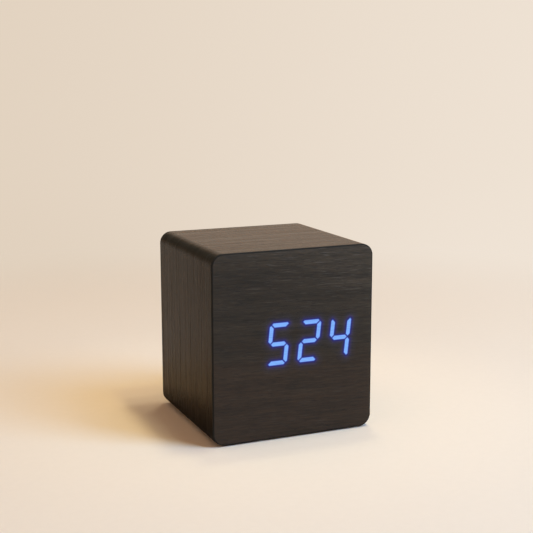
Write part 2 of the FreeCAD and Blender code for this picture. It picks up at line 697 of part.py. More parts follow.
def battery_door():
    """A flat door that turns on two end pins, with a sprung catch at its free end."""
    z0 = BODY_Z0
    z1 = BODY_Z0 + DOOR_T
    edge_y = DOOR_D / 2
    door = box(-DOOR_W / 2, DOOR_W / 2, HINGE_Y, edge_y, z0, z1)
    door = door.fuse(rod(HINGE_R, Vector(-DOOR_W / 2, HINGE_Y, HINGE_Z), X_AXIS, DOOR_W))
    for way in (-1, 1):
        end = Vector(way * DOOR_W / 2, HINGE_Y, HINGE_Z)
        door = door.fuse(rod(PIN_R, end, X_AXIS * way, DOOR_FIT + 0.5))
    half_w = CATCH_W / 2
    root_y = edge_y - CATCH_L
    nose_y = edge_y - 1.2
    for way in (-1, 1):
        x0, x1 = sorted((way * half_w, way * (half_w + CATCH_SLIT)))
        door = door.cut(box(x0, x1, root_y, edge_y + 1, z0 - 1, z1 + 1))
    door = door.cut(box(-half_w, half_w, root_y, nose_y, z1 - 0.7, z1 + 1))
    nose = [(nose_y, z1 - 0.2), (edge_y + 0.3, z1 - 0.2), (edge_y + 0.3, z1 + 0.3),
            (edge_y - 0.3, z1 + 1.2), (nose_y, z1 + 1.2)]
    door = door.fuse(sheet_yz(nose, -half_w, half_w))
    for k in range(4):
        y = edge_y - 2.4 - k * 1.3
        door = door.cut(box(1 - half_w, half_w - 1, y - 0.3, y + 0.3, z0 - 1, z0 + 0.3))
    return door.removeSplitter()


def battery_cell(row, way):
    """One AAA cell. way is the X direction that its plus end faces."""
    length = CELL_L - NUB_L
    ease = 0.35
    profile = [(0, 0), (3.6, 0), (3.7, 0.15), (CELL_R - ease, 0.15), (CELL_R, 0.15 + ease),
               (CELL_R, length - ease), (CELL_R - ease, length), (NUB_R, length), (NUB_R, CELL_L - 0.2),
               (NUB_R - 0.2, CELL_L), (0, CELL_L)]
    plus_x = CAVITY_W / 2 - CONTACT_T - DIMPLE_H
    return spin(profile, Vector(way * (plus_x - CELL_L), row * CELL_PITCH, CELL_Z), X_AXIS * way)


def contact_plate(way, rows, tab=False):
    """A sprung-steel plate on the tray's end wall, across one or two cells."""
    half = 4.4
    x0, x1 = sorted((way * CAVITY_W / 2, way * (CAVITY_W / 2 - CONTACT_T)))
    y0 = min(rows) * CELL_PITCH - half
    y1 = max(rows) * CELL_PITCH + half
    plate = box(x0, x1, y0, y1, CELL_Z - half, CELL_Z + half)
    if tab:
        y = rows[0] * CELL_PITCH
        plate = plate.fuse(box(x0, x1, y - 1.4, y + 1.4, CELL_Z + half, TAB_Z))
    return plate.removeSplitter()


def dimple(way, row):
    """The raised button that a cell's plus end presses on."""
    profile = [(0, -CONTACT_T / 2), (2.0, -CONTACT_T / 2), (2.0, 0), (1.3, DIMPLE_H), (0, DIMPLE_H)]
    x = way * (CAVITY_W / 2 - CONTACT_T)
    return spin(profile, Vector(x, row * CELL_PITCH, CELL_Z), X_AXIS * -way)


def contact_spring(way, row):
    """A conical spring of half turns, pressed down to the space behind a cell's minus end."""
    half_turns = 7
    wide_r = 3.4
    narrow_r = 1.6
    plus_x = CAVITY_W / 2 - CONTACT_T - DIMPLE_H
    room = CAVITY_W / 2 - CONTACT_T - (CELL_L - plus_x)
    rise = (room - 2 * SPRING_WIRE_R - 0.04) / half_turns
    turns = []
    start = Vector(wide_r, 0, 0)
    for i in range(1, half_turns + 1):
        side = 1 if i % 2 == 0 else -1
        end = Vector(side * (wide_r + (narrow_r - wide_r) * i / half_turns), 0, i * rise)
        axis = (end - start).cross(Y_AXIS) * side
        turns.append(disc(SPRING_WIRE_R, start, Y_AXIS).revolve((start + end) * 0.5, axis, 180))
        start = end
    x = way * (CAVITY_W / 2 - CONTACT_T - SPRING_WIRE_R - 0.02)
    return placed(joined(turns), Vector(x, row * CELL_PITCH, CELL_Z), X_AXIS * -way)


def contacts():
    """Plates and springs that join the three cells in a row, plus to minus."""
    return {
        "positive_contact": [contact_plate(1, (-1,), True).fuse(dimple(1, -1))],
        "link_contact_left": [contact_plate(-1, (-1, 0)).fuse(dimple(-1, 0)), contact_spring(-1, -1)],
        "link_contact_right": [contact_plate(1, (0, 1)).fuse(dimple(1, 1)), contact_spring(1, 0)],
        "negative_contact": [contact_plate(-1, (1,), True), contact_spring(-1, 1)],
    }


# ---- assembly -----------------------------------------------------------------------
def all_nodes():
    red, black = battery_leads()
    nodes = {
        "wrap_veneer": wrap_veneer(),
        "front_veneer": face_sheet(FRONT_Y, WALL_Y0),
        "back_veneer": face_sheet(BACK_Y, WALL_Y1).cut(plate_recess()),
        "top_wall": wall("top"),
        "bottom_wall": bottom_wall(),
        "left_wall": wall("left"),
        "right_wall": wall("right"),
        "front_panel": front_panel(),
        "back_panel": back_panel(),
        "foot_pads": foot_pads(),
        "display_reflector": display_reflector(),
        "colon_dots": colon_dots(CAST_DEPTH),
        "led_chips": led_chips(),
        "display_board": display_board(),
        "display_board_screws": display_board_screws(),
        "display_driver_chip": small_chip(12.8, 7.5, 2.3, 20, 1.27, 0, DISPLAY_Z - 4, DISPLAY_PCB_Y1, 1),
        "ribbon_headers": ribbon_headers(),
        "ribbon_cable": ribbon_cable(),
        "control_board": control_board(),
        "control_board_screws": control_board_screws(),
        "controller_chip": small_chip(18.0, 7.5, 2.3, 28, 1.27, -3, MID_Z - 8.5, BOARD_Y0, -1),
        "tact_switch_bodies": tact_switch_bodies(),
        "mode_switch_body": mode_switch_body(),
        "mode_switch_slider": mode_switch_slider(),
        "dc_jack_body": dc_jack_body(),
        "dc_jack_pin": dc_jack_pin(),
        "microphone": microphone(),
        "buzzer": buzzer(),
        "coin_cell": coin_cell(),
        "coin_cell_clip": coin_cell_clip(),
        "crystal": crystal(),
        "capacitor": capacitor(),
        "rear_plate": rear_plate(),
        "rear_plate_screws": rear_plate_screws(),
        "battery_tray": battery_tray(),
        "battery_tray_screws": battery_tray_screws(),
        "battery_door": battery_door(),
        "red_lead": red,
        "black_lead": black,
    }
    for digit, (name, lit) in enumerate(DIGITS):
        dark = "".join(n for n in LETTERS if n not in lit)
        if lit:
            nodes[name + "_lit_segments"] = segments(digit, lit, CAST_DEPTH)
        nodes[name + "_dark_segments"] = segments(digit, dark, CAST_DEPTH)
    for name in BUTTONS:
        nodes[name + "_button"] = button_cap(name)
        nodes[name + "_plunger"] = plunger(name)
    for name, row, way in CELLS:
        nodes[name] = battery_cell(row, way)
    nodes.update(contacts())
    return nodes


def main():
    os.makedirs("parts", exist_ok=True)
    for name, shapes in sorted(all_nodes().items()):
        if not isinstance(shapes, list):
            shapes = [shapes]
        solids = [solid for shape in shapes for solid in shape.Solids]
        for solid in solids:
            if not solid.isValid() or solid.Volume <= 0:
                print("check", name, solid.isValid(), solid.Volume)
        whole = solids[0] if len(solids) == 1 else Part.makeCompound(solids)
        whole.exportStep("parts/" + name + ".step")
        print(f"{name:30s} {len(solids):3d} solids {sum(s.Volume for s in solids):10.2f} mm3")


main()
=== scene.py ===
import json
import math

import bmesh
import bpy
import numpy
from mathutils import Matrix, Vector
from mathutils.geometry import delaunay_2d_cdt


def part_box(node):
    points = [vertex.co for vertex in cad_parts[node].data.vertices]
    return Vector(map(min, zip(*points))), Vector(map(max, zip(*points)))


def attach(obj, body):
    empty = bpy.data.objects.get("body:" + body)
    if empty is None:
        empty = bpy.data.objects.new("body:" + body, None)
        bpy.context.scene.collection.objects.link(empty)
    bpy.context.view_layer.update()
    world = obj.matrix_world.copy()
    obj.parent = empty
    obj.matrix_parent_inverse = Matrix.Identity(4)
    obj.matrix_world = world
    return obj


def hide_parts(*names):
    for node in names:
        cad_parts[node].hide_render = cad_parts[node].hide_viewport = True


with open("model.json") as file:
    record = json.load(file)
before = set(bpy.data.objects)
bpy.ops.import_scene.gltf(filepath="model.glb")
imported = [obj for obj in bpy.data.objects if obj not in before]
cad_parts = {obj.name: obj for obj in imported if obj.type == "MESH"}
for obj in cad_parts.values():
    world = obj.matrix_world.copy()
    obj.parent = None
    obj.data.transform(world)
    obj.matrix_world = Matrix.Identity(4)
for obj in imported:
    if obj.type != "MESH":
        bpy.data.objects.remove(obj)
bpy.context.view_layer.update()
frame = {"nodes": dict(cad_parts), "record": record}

parts = frame["nodes"]
mm = 0.001
print("frame loaded:", len(parts), "parts")


# a socket that can be used in sums
class Wire:
    def __init__(self, graph, socket):
        self.graph = graph
        self.socket = socket

    def __add__(self, other):
        return self.graph.math("ADD", self, other)

    def __radd__(self, other):
        return self.graph.math("ADD", other, self)

    def __sub__(self, other):
        return self.graph.math("SUBTRACT", self, other)

    def __rsub__(self, other):
        return self.graph.math("SUBTRACT", other, self)

    def __mul__(self, other):
        return self.graph.math("MULTIPLY", self, other)

    def __rmul__(self, other):
        return self.graph.math("MULTIPLY", other, self)

    def __truediv__(self, other):
        return self.graph.math("DIVIDE", self, other)

    def __rtruediv__(self, other):
        return self.graph.math("DIVIDE", other, self)

    def __abs__(self):
        return self.graph.math("ABSOLUTE", self)

    # another output of the same node
    def also(self, name):
        return Wire(self.graph, findSocket(self.socket.node.outputs, name))


def findSocket(sockets, key):
    if isinstance(key, int):
        return sockets[key]
    for socket in sockets:
        if socket.identifier == key:
            return socket
    return sockets[key]


# a node tree that is written as Python sums, for materials and for geometry
class Graph:
    def __init__(self, tree):
        self.tree = tree
        tree.nodes.clear()

    # adds a node: its type, its settings, what its inputs get, and the output to go on with
    def node(self, kind, settings=None, values=None, output=0):
        made = self.tree.nodes.new(kind)
        for name, value in (settings or {}).items():
            if name == "stops":
                fillRamp(made.color_ramp, value)
            else:
                setattr(made, name, value)
        for key, value in (values or {}).items():
            self.feed(findSocket(made.inputs, key), value)
        return Wire(self, findSocket(made.outputs, output)) if made.outputs else made

    def feed(self, socket, value):
        if isinstance(value, Wire):
            self.tree.links.new(value.socket, socket)
        elif hasattr(value, "__len__") and socket.type == "RGBA":
            socket.default_value = (*value, 1.0)[:4]
        else:
            socket.default_value = value

    def math(self, operation, *terms):
        return self.node("ShaderNodeMath", {"operation": operation}, dict(enumerate(terms)))

    def length(self, across, up):
        return self.math("SQRT", across * across + up * up)

    def combine(self, x, y, z):
        return self.node("ShaderNodeCombineXYZ", values={0: x, 1: y, 2: z})

    def split(self, vector):
        made = self.node("ShaderNodeSeparateXYZ", values={0: vector})
        return [made.also(axis) for axis in "XYZ"]


def fillRamp(ramp, stops):
    while len(ramp.elements) < len(stops):
        ramp.elements.new(0.5)
    for element, (position, colour) in zip(ramp.elements, stops):
        element.position = position
        element.color = (*colour, 1.0)


# a geometry node group with named inputs for its sizes
class Shape(Graph):
    def __init__(self, name, sizes):
        Graph.__init__(self, bpy.data.node_groups.new(name, "GeometryNodeTree"))
        self.addSocket("Geometry", "Geometry")
        for label, value in sizes.items():
            self.addSocket(label, "Int" if isinstance(value, int) else "Float").default_value = value
        self.addSocket("Material", "Material")
        self.addSocket("Geometry", "Geometry", "OUTPUT")
        self.given = self.node("NodeGroupInput")

    def addSocket(self, label, kind, way="INPUT"):
        return self.tree.interface.new_socket(label, in_out=way, socket_type="NodeSocket" + kind)

    def size(self, label):
        return self.given.also(label)

    # the path that the object's mesh holds
    def path(self):
        return self.node("GeometryNodeMeshToCurve", {}, {"Mesh": self.given})

    def circle(self, points, radius):
        return self.node("GeometryNodeCurvePrimitiveCircle", {}, {"Resolution": points, "Radius": radius}, "Curve")

    def tube(self, path, section):
        return self.node("GeometryNodeCurveToMesh", {}, {
            "Curve": path, "Profile Curve": section, "Fill Caps": True})

    # how holds the rotation or the scale
    def changed(self, geometry, how):
        return self.node("GeometryNodeTransform", {}, {"Geometry": geometry, **how})

    def reshaped(self, geometry, x, y, z):
        return self.node("GeometryNodeSetPosition", {}, {"Geometry": geometry, "Position": self.combine(x, y, z)})

    def onPoints(self, piece):
        return self.node("GeometryNodeInstanceOnPoints", {}, {"Points": self.given, "Instance": piece})

    # ends the tree as every tree here ends
    def end(self, geometry):
        real = self.node("GeometryNodeRealizeInstances", {}, {0: geometry})
        painted = self.node("GeometryNodeSetMaterial", {}, {"Geometry": real, "Material": self.size("Material")})
        self.node("NodeGroupOutput", {}, {0: painted})
        return self.tree


# a material whose patterns are measured in millimetres of the clock's own space
class Finish(Graph):
    def __init__(self, name):
        self.material = bpy.data.materials.new(name)
        self.material.use_nodes = True
        Graph.__init__(self, self.material.node_tree)
        self.place = self.node("ShaderNodeTexCoord", output="Object")
        self.x, self.y, self.z = (axis / mm for axis in self.split(self.place))

    # the place counted in marks of a size in mm: one size, or one each along x, y and z
    def scaled(self, size, shift, place=None):
        sizes = size if hasattr(size, "__len__") else (size,) * 3
        return self.node("ShaderNodeMapping", {}, {
            "Vector": place or self.place, "Scale": tuple(1 / (mm * s) for s in sizes), "Location": shift})

    def noise(self, size, detail=2.0, shift=0.0, place=None, rough=0.5):
        mapped = self.scaled(size, (shift, shift * 1.7, shift * 0.6), place)
        return self.node("ShaderNodeTexNoise", {}, {
            "Vector": mapped, "Scale": 1.0, "Detail": detail, "Roughness": rough}, "Fac")

    def cells(self, size, shift=0.0):
        mapped = self.scaled(size, (shift,) * 3)
        return self.node("ShaderNodeTexVoronoi", {}, {"Vector": mapped, "Scale": 1.0}, "Distance")

    # turning marks, so many to a millimetre
    def rings(self, radius, count):
        return self.node("ShaderNodeTexNoise", {"noise_dimensions": "1D"}, {
            "W": radius * count, "Scale": 1.0, "Detail": 3.0})

    def rise(self, value, low, high, least=0.0, most=1.0):
        return self.node("ShaderNodeMapRange", {"interpolation_type": "SMOOTHSTEP"}, {
            "Value": value, "From Min": low, "From Max": high, "To Min": least, "To Max": most})

    def fall(self, value, low, high):
        return self.rise(value, low, high, 1.0, 0.0)

    def mix(self, share, first, second, blend="MIX"):
        return self.node("ShaderNodeMix", {"data_type": "RGBA", "blend_type": blend, "clamp_factor": True}, {
            "Factor_Float": share, "A_Color": first, "B_Color": second}, "Result_Color")

    # wanders with a pattern from one colour to another, or between two tones of one colour
    def wander(self, pattern, first, second):
        return self.mix(self.rise(pattern, 0.3, 0.7), first, second)

    def mottle(self, pattern, colour, least, most):
        return self.wander(pattern, tone(colour, least), tone(colour, most))

    def relief(self, height, depth):
        return self.node("ShaderNodeBump", {}, {"Strength": 1.0, "Distance": depth * mm, "Height": height}, "Normal")

    # more holds the other sockets by name
    def shader(self, colour, roughness, more):
        return self.node("ShaderNodeBsdfPrincipled", {}, {"Base Color": colour, "Roughness": roughness, **more})

    def blend(self, share, first, second):
        return self.node("ShaderNodeMixShader", {}, {0: share, 1: first, 2: second})

    def show(self, shader):
        self.node("ShaderNodeOutputMaterial", {}, {"Surface": shader})
        return self.material

    def surface(self, colour, roughness, normal, more=None):
        return self.show(self.shader(colour, roughness, {"Normal": normal, **(more or {})}))


def tone(colour, factor):
    return tuple(c * factor for c in colour)


def boxOf(node):
    # a node's lowest and highest corners, in mm
    return [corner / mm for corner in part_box(node)]


# the clock's outline from the front: a rounded rectangle, in mm
outline = {"halfWidth": 32.75, "halfHeight": 36.0, "centreZ": 36.5, "radius": 4.5}


def beyondStraight(f):
    # how far a point is past the straight runs of the outline, sideways and upwards
    across = abs(f.x) - (outline["halfWidth"] - outline["radius"])
    up = abs(f.z - outline["centreZ"]) - (outline["halfHeight"] - outline["radius"])
    return across, up


def insetFrom(f):
    # distance in from the outline, mm
    across, up = beyondStraight(f)
    a, u = f.math("MAXIMUM", across, 0.0), f.math("MAXIMUM", up, 0.0)
    inner = f.math("MINIMUM", f.math("MAXIMUM", across, up), 0.0)
    return outline["radius"] - f.length(a, u) - inner


# veneer: fibres run square to the across axis, and round the corners of the case
# band, streak and fibre are widths in mm, and length is how many times longer a streak or fibre is
faceVeneer = {
    "dark": (0.0080, 0.0062, 0.0042),
    "light": (0.0345, 0.0250, 0.0160),
    "fleck": (0.085, 0.074, 0.064),
    "pore": (0.003, 0.002, 0.002),
    "stainedRim": (0.005, 0.004, 0.003),
    "warm": (1.15, 0.91, 0.80),        # the redder end of the sheet, as a factor
    "pale": (1.75, 1.85, 1.95),        # the greyer top right corner, as a factor
    "roughness": 0.50, "specular": 0.30, "fuzz": 0.0, "relief": 0.030,
    "band": 6.0, "streak": 0.75, "length": 15, "fibre": 0.20, "sway": 0.7, "contrast": 1.05, "glossSwing": 0.12,
}
wrapVeneer = {
    "dark": (0.0062, 0.0044, 0.0030),
    "light": (0.0232, 0.0156, 0.0102),
    "fleck": (0.050, 0.033, 0.022),
    "pore": (0.002, 0.001, 0.001),
    "stainedRim": (0.002, 0.002, 0.002),
    # painted reflection: the wrap's lower sides are made warmer, standing in for the warm floor that they reflect
    "warm": (1.18, 1.0, 0.82),
    "pale": (1.0, 1.0, 1.0),
    "bend": (1.0, 1.5, 2.1),           # painted reflection: the bends are made greyer, as a factor, standing in for what they reflect
    "top": (1.5, 1.25, 0.95),          # painted light: the top is made lighter and redder, as a factor, standing in for its warm sheen
    "bendDull": 0.5, "topDull": 0.045, "footDull": 0.07, "topCalm": 0.55,
    "roughness": 0.20, "specular": 0.04, "fuzz": 0.50, "relief": 0.080,
    "band": 9.0, "streak": 1.3, "length": 40, "fibre": 0.45, "sway": 0.8, "contrast": 1.15, "glossSwing": 0.92,
}
fuzz = {"roughness": 0.2, "tint": (1.0, 0.59, 0.25)}    # bare fibre ends that catch grazing light
# painted shade near the foot: how high it reaches, how much higher towards the front, its strongest share, and the
# darker copy's colour factor, roughness and specular
paintedFootShade = {"height": 17.5, "slope": 0.24, "most": 0.86, "tone": (0.60, 0.98, 1.45), "roughness": 0.85, "specular": 0.04}
woodMarks = {      # width and length in mm, detail and seed
    "wave": (14, 40, 1.0, 3.1), "patch": (4.5, 34, 1.0, 23.0),
    "pore": (0.16, 3.4, 1.0, 14.2), "mark": (0.40, 7.0, 2.0, 17.9),
}
woodZones = {      # where a sheet changes, from and to, in mm
    "warm": (17.0, 47.0), "pale": (48.0, 84.0), "flecked": (44.0, 62.0), "dull": (8.0, 34.0), "top": (71.5, 72.3),
    "bendAcross": (1.0, 3.2), "bendUp": (0.0, 2.4), "joint": (28.92, 29.12),
    "sheetBack": (29.90, 29.98), "sheetRim": (0.30, 0.55), "lit": (0.1, 1.0),
}


def veneerFinish(name, across, sheet, shift=0.0, tilt=0.0, isLit=False):
    f = Finish(name)
    axis = "XYZ".index(across)
    zone = woodZones

    def lines(width, length, detail, seed, place, rough=0.5):
        size = [length] * 3
        size[axis] = width
        return f.noise(size, detail, shift + seed, place, rough)

    def longLines(width, detail, seed):
        return lines(width, width * sheet["length"], detail, seed, bent, 0.6)

    push = [0.0, 0.0, 0.0]
    push[axis] = ((lines(*woodMarks["wave"], f.place) - 0.5) * sheet["sway"] * 2.0 + f.x * tilt) * mm
    bent = f.node("ShaderNodeVectorMath", {"operation": "ADD"}, {0: f.place, 1: f.combine(*push)})
    bands = lines(sheet["band"], 150, 2.0, 0.7, bent)
    streaks, fibres = longLines(sheet["streak"], 3.0, 5.3), longLines(sheet["fibre"], 2.0, 9.1)
    patches, pores, marks = (lines(*woodMarks[layer], bent) for layer in ("patch", "pore", "mark"))

    # colour: dark to light by the layers, then the sheet's broad changes, its flecks and its open pores
    share = 0.5 + (bands - 0.5) * 0.7 + (streaks - 0.5) * sheet["contrast"] + (fibres - 0.5) * 0.7
    wood = f.mix(f.rise(share, 0.0, 1.0), sheet["dark"], sheet["light"])
    warm = f.fall(f.z + (bands - 0.5) * 14.0 + (patches - 0.5) * 46.0, *zone["warm"])
    pale = f.rise(f.x * 0.5 + f.z + (bands - 0.5) * 14.0, *zone["pale"])
    # warmer towards the foot; on the wrap this is a painted reflection of the warm floor
    wood = f.mix(warm, wood, sheet["warm"], "MULTIPLY")
    wood = f.mix(pale, wood, sheet["pale"], "MULTIPLY")
    flecked = f.rise(f.z + (patches - 0.5) * 20.0, *zone["flecked"])
    flecks = f.rise(marks, 0.56, 0.74) * (0.2 + flecked * 0.3 + pale * 0.6)
    wood = f.mix(flecks * 0.75, wood, sheet["fleck"])
    openPores = f.rise(pores, 0.60, 0.68)
    wood = f.mix(openPores * 0.6, wood, sheet["pore"])
    rough = sheet["roughness"] + (streaks - 0.5) * sheet["glossSwing"] + openPores * 0.10 - flecks * 0.05
    depth = abs(f.y)
    if sheet is faceVeneer:      # its sanded rim is stained black
        height = fibres * 0.35 + streaks * 0.3 - openPores * 0.7 + flecks * 0.15
        rim = f.math("MAXIMUM", f.fall(depth, *zone["sheetBack"]), f.fall(insetFrom(f), *zone["sheetRim"]))
    else:                        # black by the sheets' joints, and duller where the veneer is bent
        height = streaks + fibres * 0.2
        rim = f.rise(depth, *zone["joint"])
        side, up = beyondStraight(f)
        bend = f.rise(side, *zone["bendAcross"]) * f.rise(up, *zone["bendUp"])
        top = f.rise(f.z, *zone["top"])
        rough = rough - (streaks - 0.5) * top * sheet["glossSwing"] * sheet["topCalm"] + bend * sheet["bendDull"]
        rough = rough + top * sheet["topDull"] + f.fall(f.z, *zone["dull"]) * sheet["footDull"]
        # painted reflection: greyer on the bends
        wood = f.mix(bend, wood, sheet["bend"], "MULTIPLY")
        # painted light: lighter and redder on the top
        wood = f.mix(top, wood, sheet["top"], "MULTIPLY")
    wood = f.mix(rim, wood, sheet["stainedRim"])
    rough = f.math("MINIMUM", rough + rim * 0.45, 0.8)

    values = {"Normal": f.relief(height, sheet["relief"]), "Specular IOR Level": sheet["specular"],
              "Sheen Weight": sheet["fuzz"], "Sheen Roughness": fuzz["roughness"], "Sheen Tint": fuzz["tint"]}
    if isLit:                    # the digits' light, broken up by the wood that it comes through
        distance = f.node("ShaderNodeAttribute", {"attribute_name": "litDistance"}, output="Fac")
        # the wood is darker under and just round the lit segments
        wood = f.mix(f.rise(distance, *zone["lit"], 0.7, 0.0), wood, sheet["stainedRim"])
        veil = 1.0 + (streaks - 0.5) * 0.35 + (fibres - 0.5) * 0.45
        light = f.node("ShaderNodeValToRGB", {"stops": glowStops}, {
            "Fac": (distance + displayGlow["inside"]) / glowSpan})
        values["Emission Color"] = f.mix(1.0, light, f.node("ShaderNodeCombineColor", {}, {
            "Red": veil, "Green": veil, "Blue": veil}), "MULTIPLY")
        values["Emission Strength"] = 1.0
    veneer = f.shader(wood, rough, values)
    if sheet is faceVeneer:
        return f.show(veneer)
    # painted shade: near the foot a darker, greyer copy of the veneer, with no sheen and little gloss, is blended
    # in, reaching further up towards the front
    footShadeCopy = f.shader(f.mix(1.0, wood, paintedFootShade["tone"], "MULTIPLY"), paintedFootShade["roughness"], {
        "Normal": values["Normal"], "Specular IOR Level": paintedFootShade["specular"]})
    share = f.rise(f.z / (paintedFootShade["height"] - f.y * paintedFootShade["slope"]), 0.0, 1.0, paintedFootShade["most"], 0.0)
    return f.show(f.blend(share, veneer, footShadeCopy))


# light through the front veneer
displayGlow = {
    "colours": (        # by distance from the lit segments, in mm
        (-0.50, (0.190, 0.424, 0.960)),
        (-0.22, (0.196, 0.428, 0.960)),
        (-0.09, (0.120, 0.225, 0.780)),
        (0.03, (0.022, 0.048, 0.370)),
        (0.17, (0.002, 0.008, 0.175)),
        (0.42, (0.003, 0.004, 0.112)),
        (0.80, (0.008, 0.007, 0.062)),
        (1.30, (0.005, 0.005, 0.028)),
        (1.90, (0.002, 0.003, 0.010)),
        (3.60, (0.0, 0.0, 0.0)),
    ),
    "inside": 0.5, "reach": 4.0,    # how far the distance is kept, inwards and outwards
}
glowSpan = displayGlow["inside"] + displayGlow["reach"]
glowStops = [((distance + displayGlow["inside"]) / glowSpan, colour) for distance, colour in displayGlow["colours"]]


dust = (0.35, 0.33, 0.30)
bubble = (0.9, 0.95, 1.0)
scuffed = (0.4, 0.4, 0.4)


def plasticFinish(name, colour, roughness, grain, depth):
    f = Finish(name)
    spark = f.noise(grain, 2.0, 1.0)
    broad = f.noise(6.0, 2.0, 4.0)
    specks = f.rise(f.noise(0.5, 3.0, 8.0), 0.62, 0.8)
    base = f.mix(specks * 0.05, f.mottle(broad, colour, 0.86, 1.14), dust)
    return f.surface(base, roughness + (spark - 0.5) * 0.14 + (broad - 0.5) * 0.08, f.relief(spark, depth))


# buttons: black, with the sunk sign in each face painted grey
button = {"colour": (0.022, 0.022, 0.023), "sign": (0.42, 0.42, 0.40), "signRadius": 1.85,
          "pitch": 11.0, "z": 41.5, "signY": 28.80}


def buttonFinish(name):
    f = Finish(name)
    spark = f.noise(0.09, 2.0, 1.0)
    broad = f.noise(3.0, 2.0, 4.0)
    dx = f.x - f.math("ROUND", f.x / button["pitch"]) * button["pitch"]
    near = f.fall(f.length(dx, f.z - button["z"]), button["signRadius"], button["signRadius"] + 0.1)
    painted = near * f.fall(abs(f.y - button["signY"]), 0.03, 0.06)
    base = f.mix(painted, f.mottle(broad, button["colour"], 0.88, 1.12), button["sign"])
    return f.surface(base, 0.36 + (spark - 0.5) * 0.14 + painted * 0.2, f.relief(spark, 0.006))


metal = {"Metallic": 1.0}
steel = (0.56, 0.56, 0.57)


def metalFinish(name, colour, roughness, stretch=(3.0, 0.12, 3.0)):
    f = Finish(name)
    brush = f.noise(stretch, 3.0, 2.0)
    stain = f.noise(2.5, 2.0, 6.0)
    rough = roughness + (brush - 0.5) * 0.16 + (stain - 0.5) * 0.1
    return f.surface(f.mottle(stain, colour, 0.88, 1.06), rough, f.relief(brush, 0.004), metal)


# painted shade: the depth below which the recess is darkened and the radius beyond which the head's edge is
# darkened, in mm
screw = {"recess": (29.02, 29.16), "rim": (1.30, 1.55), "marks": 9.0}


def screwFinish(name, centreX, centreZ):
    # turning marks round each screw's middle, and painted shade in the recess and round the head's edge
    f = Finish(name)
    radius = f.length(abs(f.x) - centreX, f.z - centreZ)
    rings = f.rings(radius, screw["marks"])
    stain = f.noise(0.9, 2.0, 6.0)
    # painted shade in the recess and round the head's edge
    dark = f.math("MAXIMUM", f.fall(f.y, *screw["recess"]) * 0.8, f.rise(radius, *screw["rim"]) * 0.6)
    base = f.mix(dark, f.mix(rings, tone(steel, 0.55), tone(steel, 0.95)), tone(steel, 0.12))
    return f.surface(base, 0.24 + rings * 0.16 + (stain - 0.5) * 0.15, f.relief(rings, 0.012), metal)


fibreboard = {"dark": (0.33, 0.235, 0.145), "light": (0.50, 0.38, 0.25), "chip": (0.24, 0.16, 0.09)}


def fibreboardFinish(name):
    f = Finish(name)
    wool = f.noise(0.5, 4.0, 0.0, rough=0.7)
    chips = f.rise(f.noise(0.9, 1.0, 5.0), 0.56, 0.66)
    base = f.mix(chips * 0.3, f.wander(wool, fibreboard["dark"], fibreboard["light"]), fibreboard["chip"])
    return f.surface(base, 0.86 + (wool - 0.5) * 0.1, f.relief(wool, 0.05))


def foamFinish(name, colour):
    f = Finish(name)
    pits = f.cells(0.28)
    broad = f.noise(1.5, 2.0)
    base = f.mix(f.rise(pits, 0.1, 0.6), tone(colour, 0.45), tone(colour, 1.15))
    return f.surface(base, 0.85 + (broad - 0.5) * 0.1, f.relief(pits, 0.06))


def castFinish(name, core, edge, glow=0.0):
    # epoxy cast in a well, with a few tiny bubbles
    f = Finish(name)
    cloud = f.noise(1.2, 2.0, 3.0)
    bubbles = f.fall(f.cells(0.7, 2.0), 0.05, 0.12)
    base = f.mix(bubbles * 0.3, f.wander(cloud, core, edge), bubble)
    light = {"Emission Color": base, "Emission Strength": glow} if glow else {}
    return f.surface(base, 0.18 + (cloud - 0.5) * 0.1, f.relief(cloud, 0.01), light)


# circuit board: solder mask over copper runs, on a 0.635 mm grid
board = {"mask": (0.012, 0.095, 0.040), "copper": (0.022, 0.165, 0.066), "edge": (0.30, 0.27, 0.12), "grid": 0.635}


def boardFinish(name, node):
    f = Finish(name)
    grid = board["grid"]
    ways = []
    for along, across, seed in ((f.x, f.z, 3.0), (f.z, f.x, 11.0)):
        row = f.math("FLOOR", across / grid)
        run = f.node("ShaderNodeTexWhiteNoise", {"noise_dimensions": "2D"}, {
            "Vector": f.combine(row + seed, f.math("FLOOR", along / (grid * 9.0) + row * 0.37), 0.0)}, "Value")
        place = abs(f.math("FRACT", across / grid) - 0.5)
        ways.append(f.fall(place, 0.17, 0.22) * f.rise(run, 0.60, 0.62))
    copper = f.math("MAXIMUM", *ways)
    cloud = f.noise(4.0, 2.0)
    base = f.mix(copper, f.mottle(cloud, board["mask"], 0.85, 1.2), board["copper"])
    low, high = boxOf(node)
    inside = f.rise(f.y, low.y + 0.03, low.y + 0.06) * f.fall(f.y, high.y - 0.06, high.y - 0.03)
    base = f.mix(inside, base, board["edge"])
    return f.surface(base, 0.24 + inside * 0.5 + (cloud - 0.5) * 0.1, f.relief(copper * (1.0 - inside), 0.03))


# AAA cell: dark sleeve, a warm band and a thin line at the plus end, bare metal on both ends
cell = {"sleeve": (0.014, 0.020, 0.030), "band": (0.30, 0.145, 0.045), "metal": (0.66, 0.66, 0.66),
        "bandLength": 9.0, "lineGap": 0.7, "minusBare": 0.42, "plusBare": 1.05, "blur": 0.08, "endRadius": 4.6}


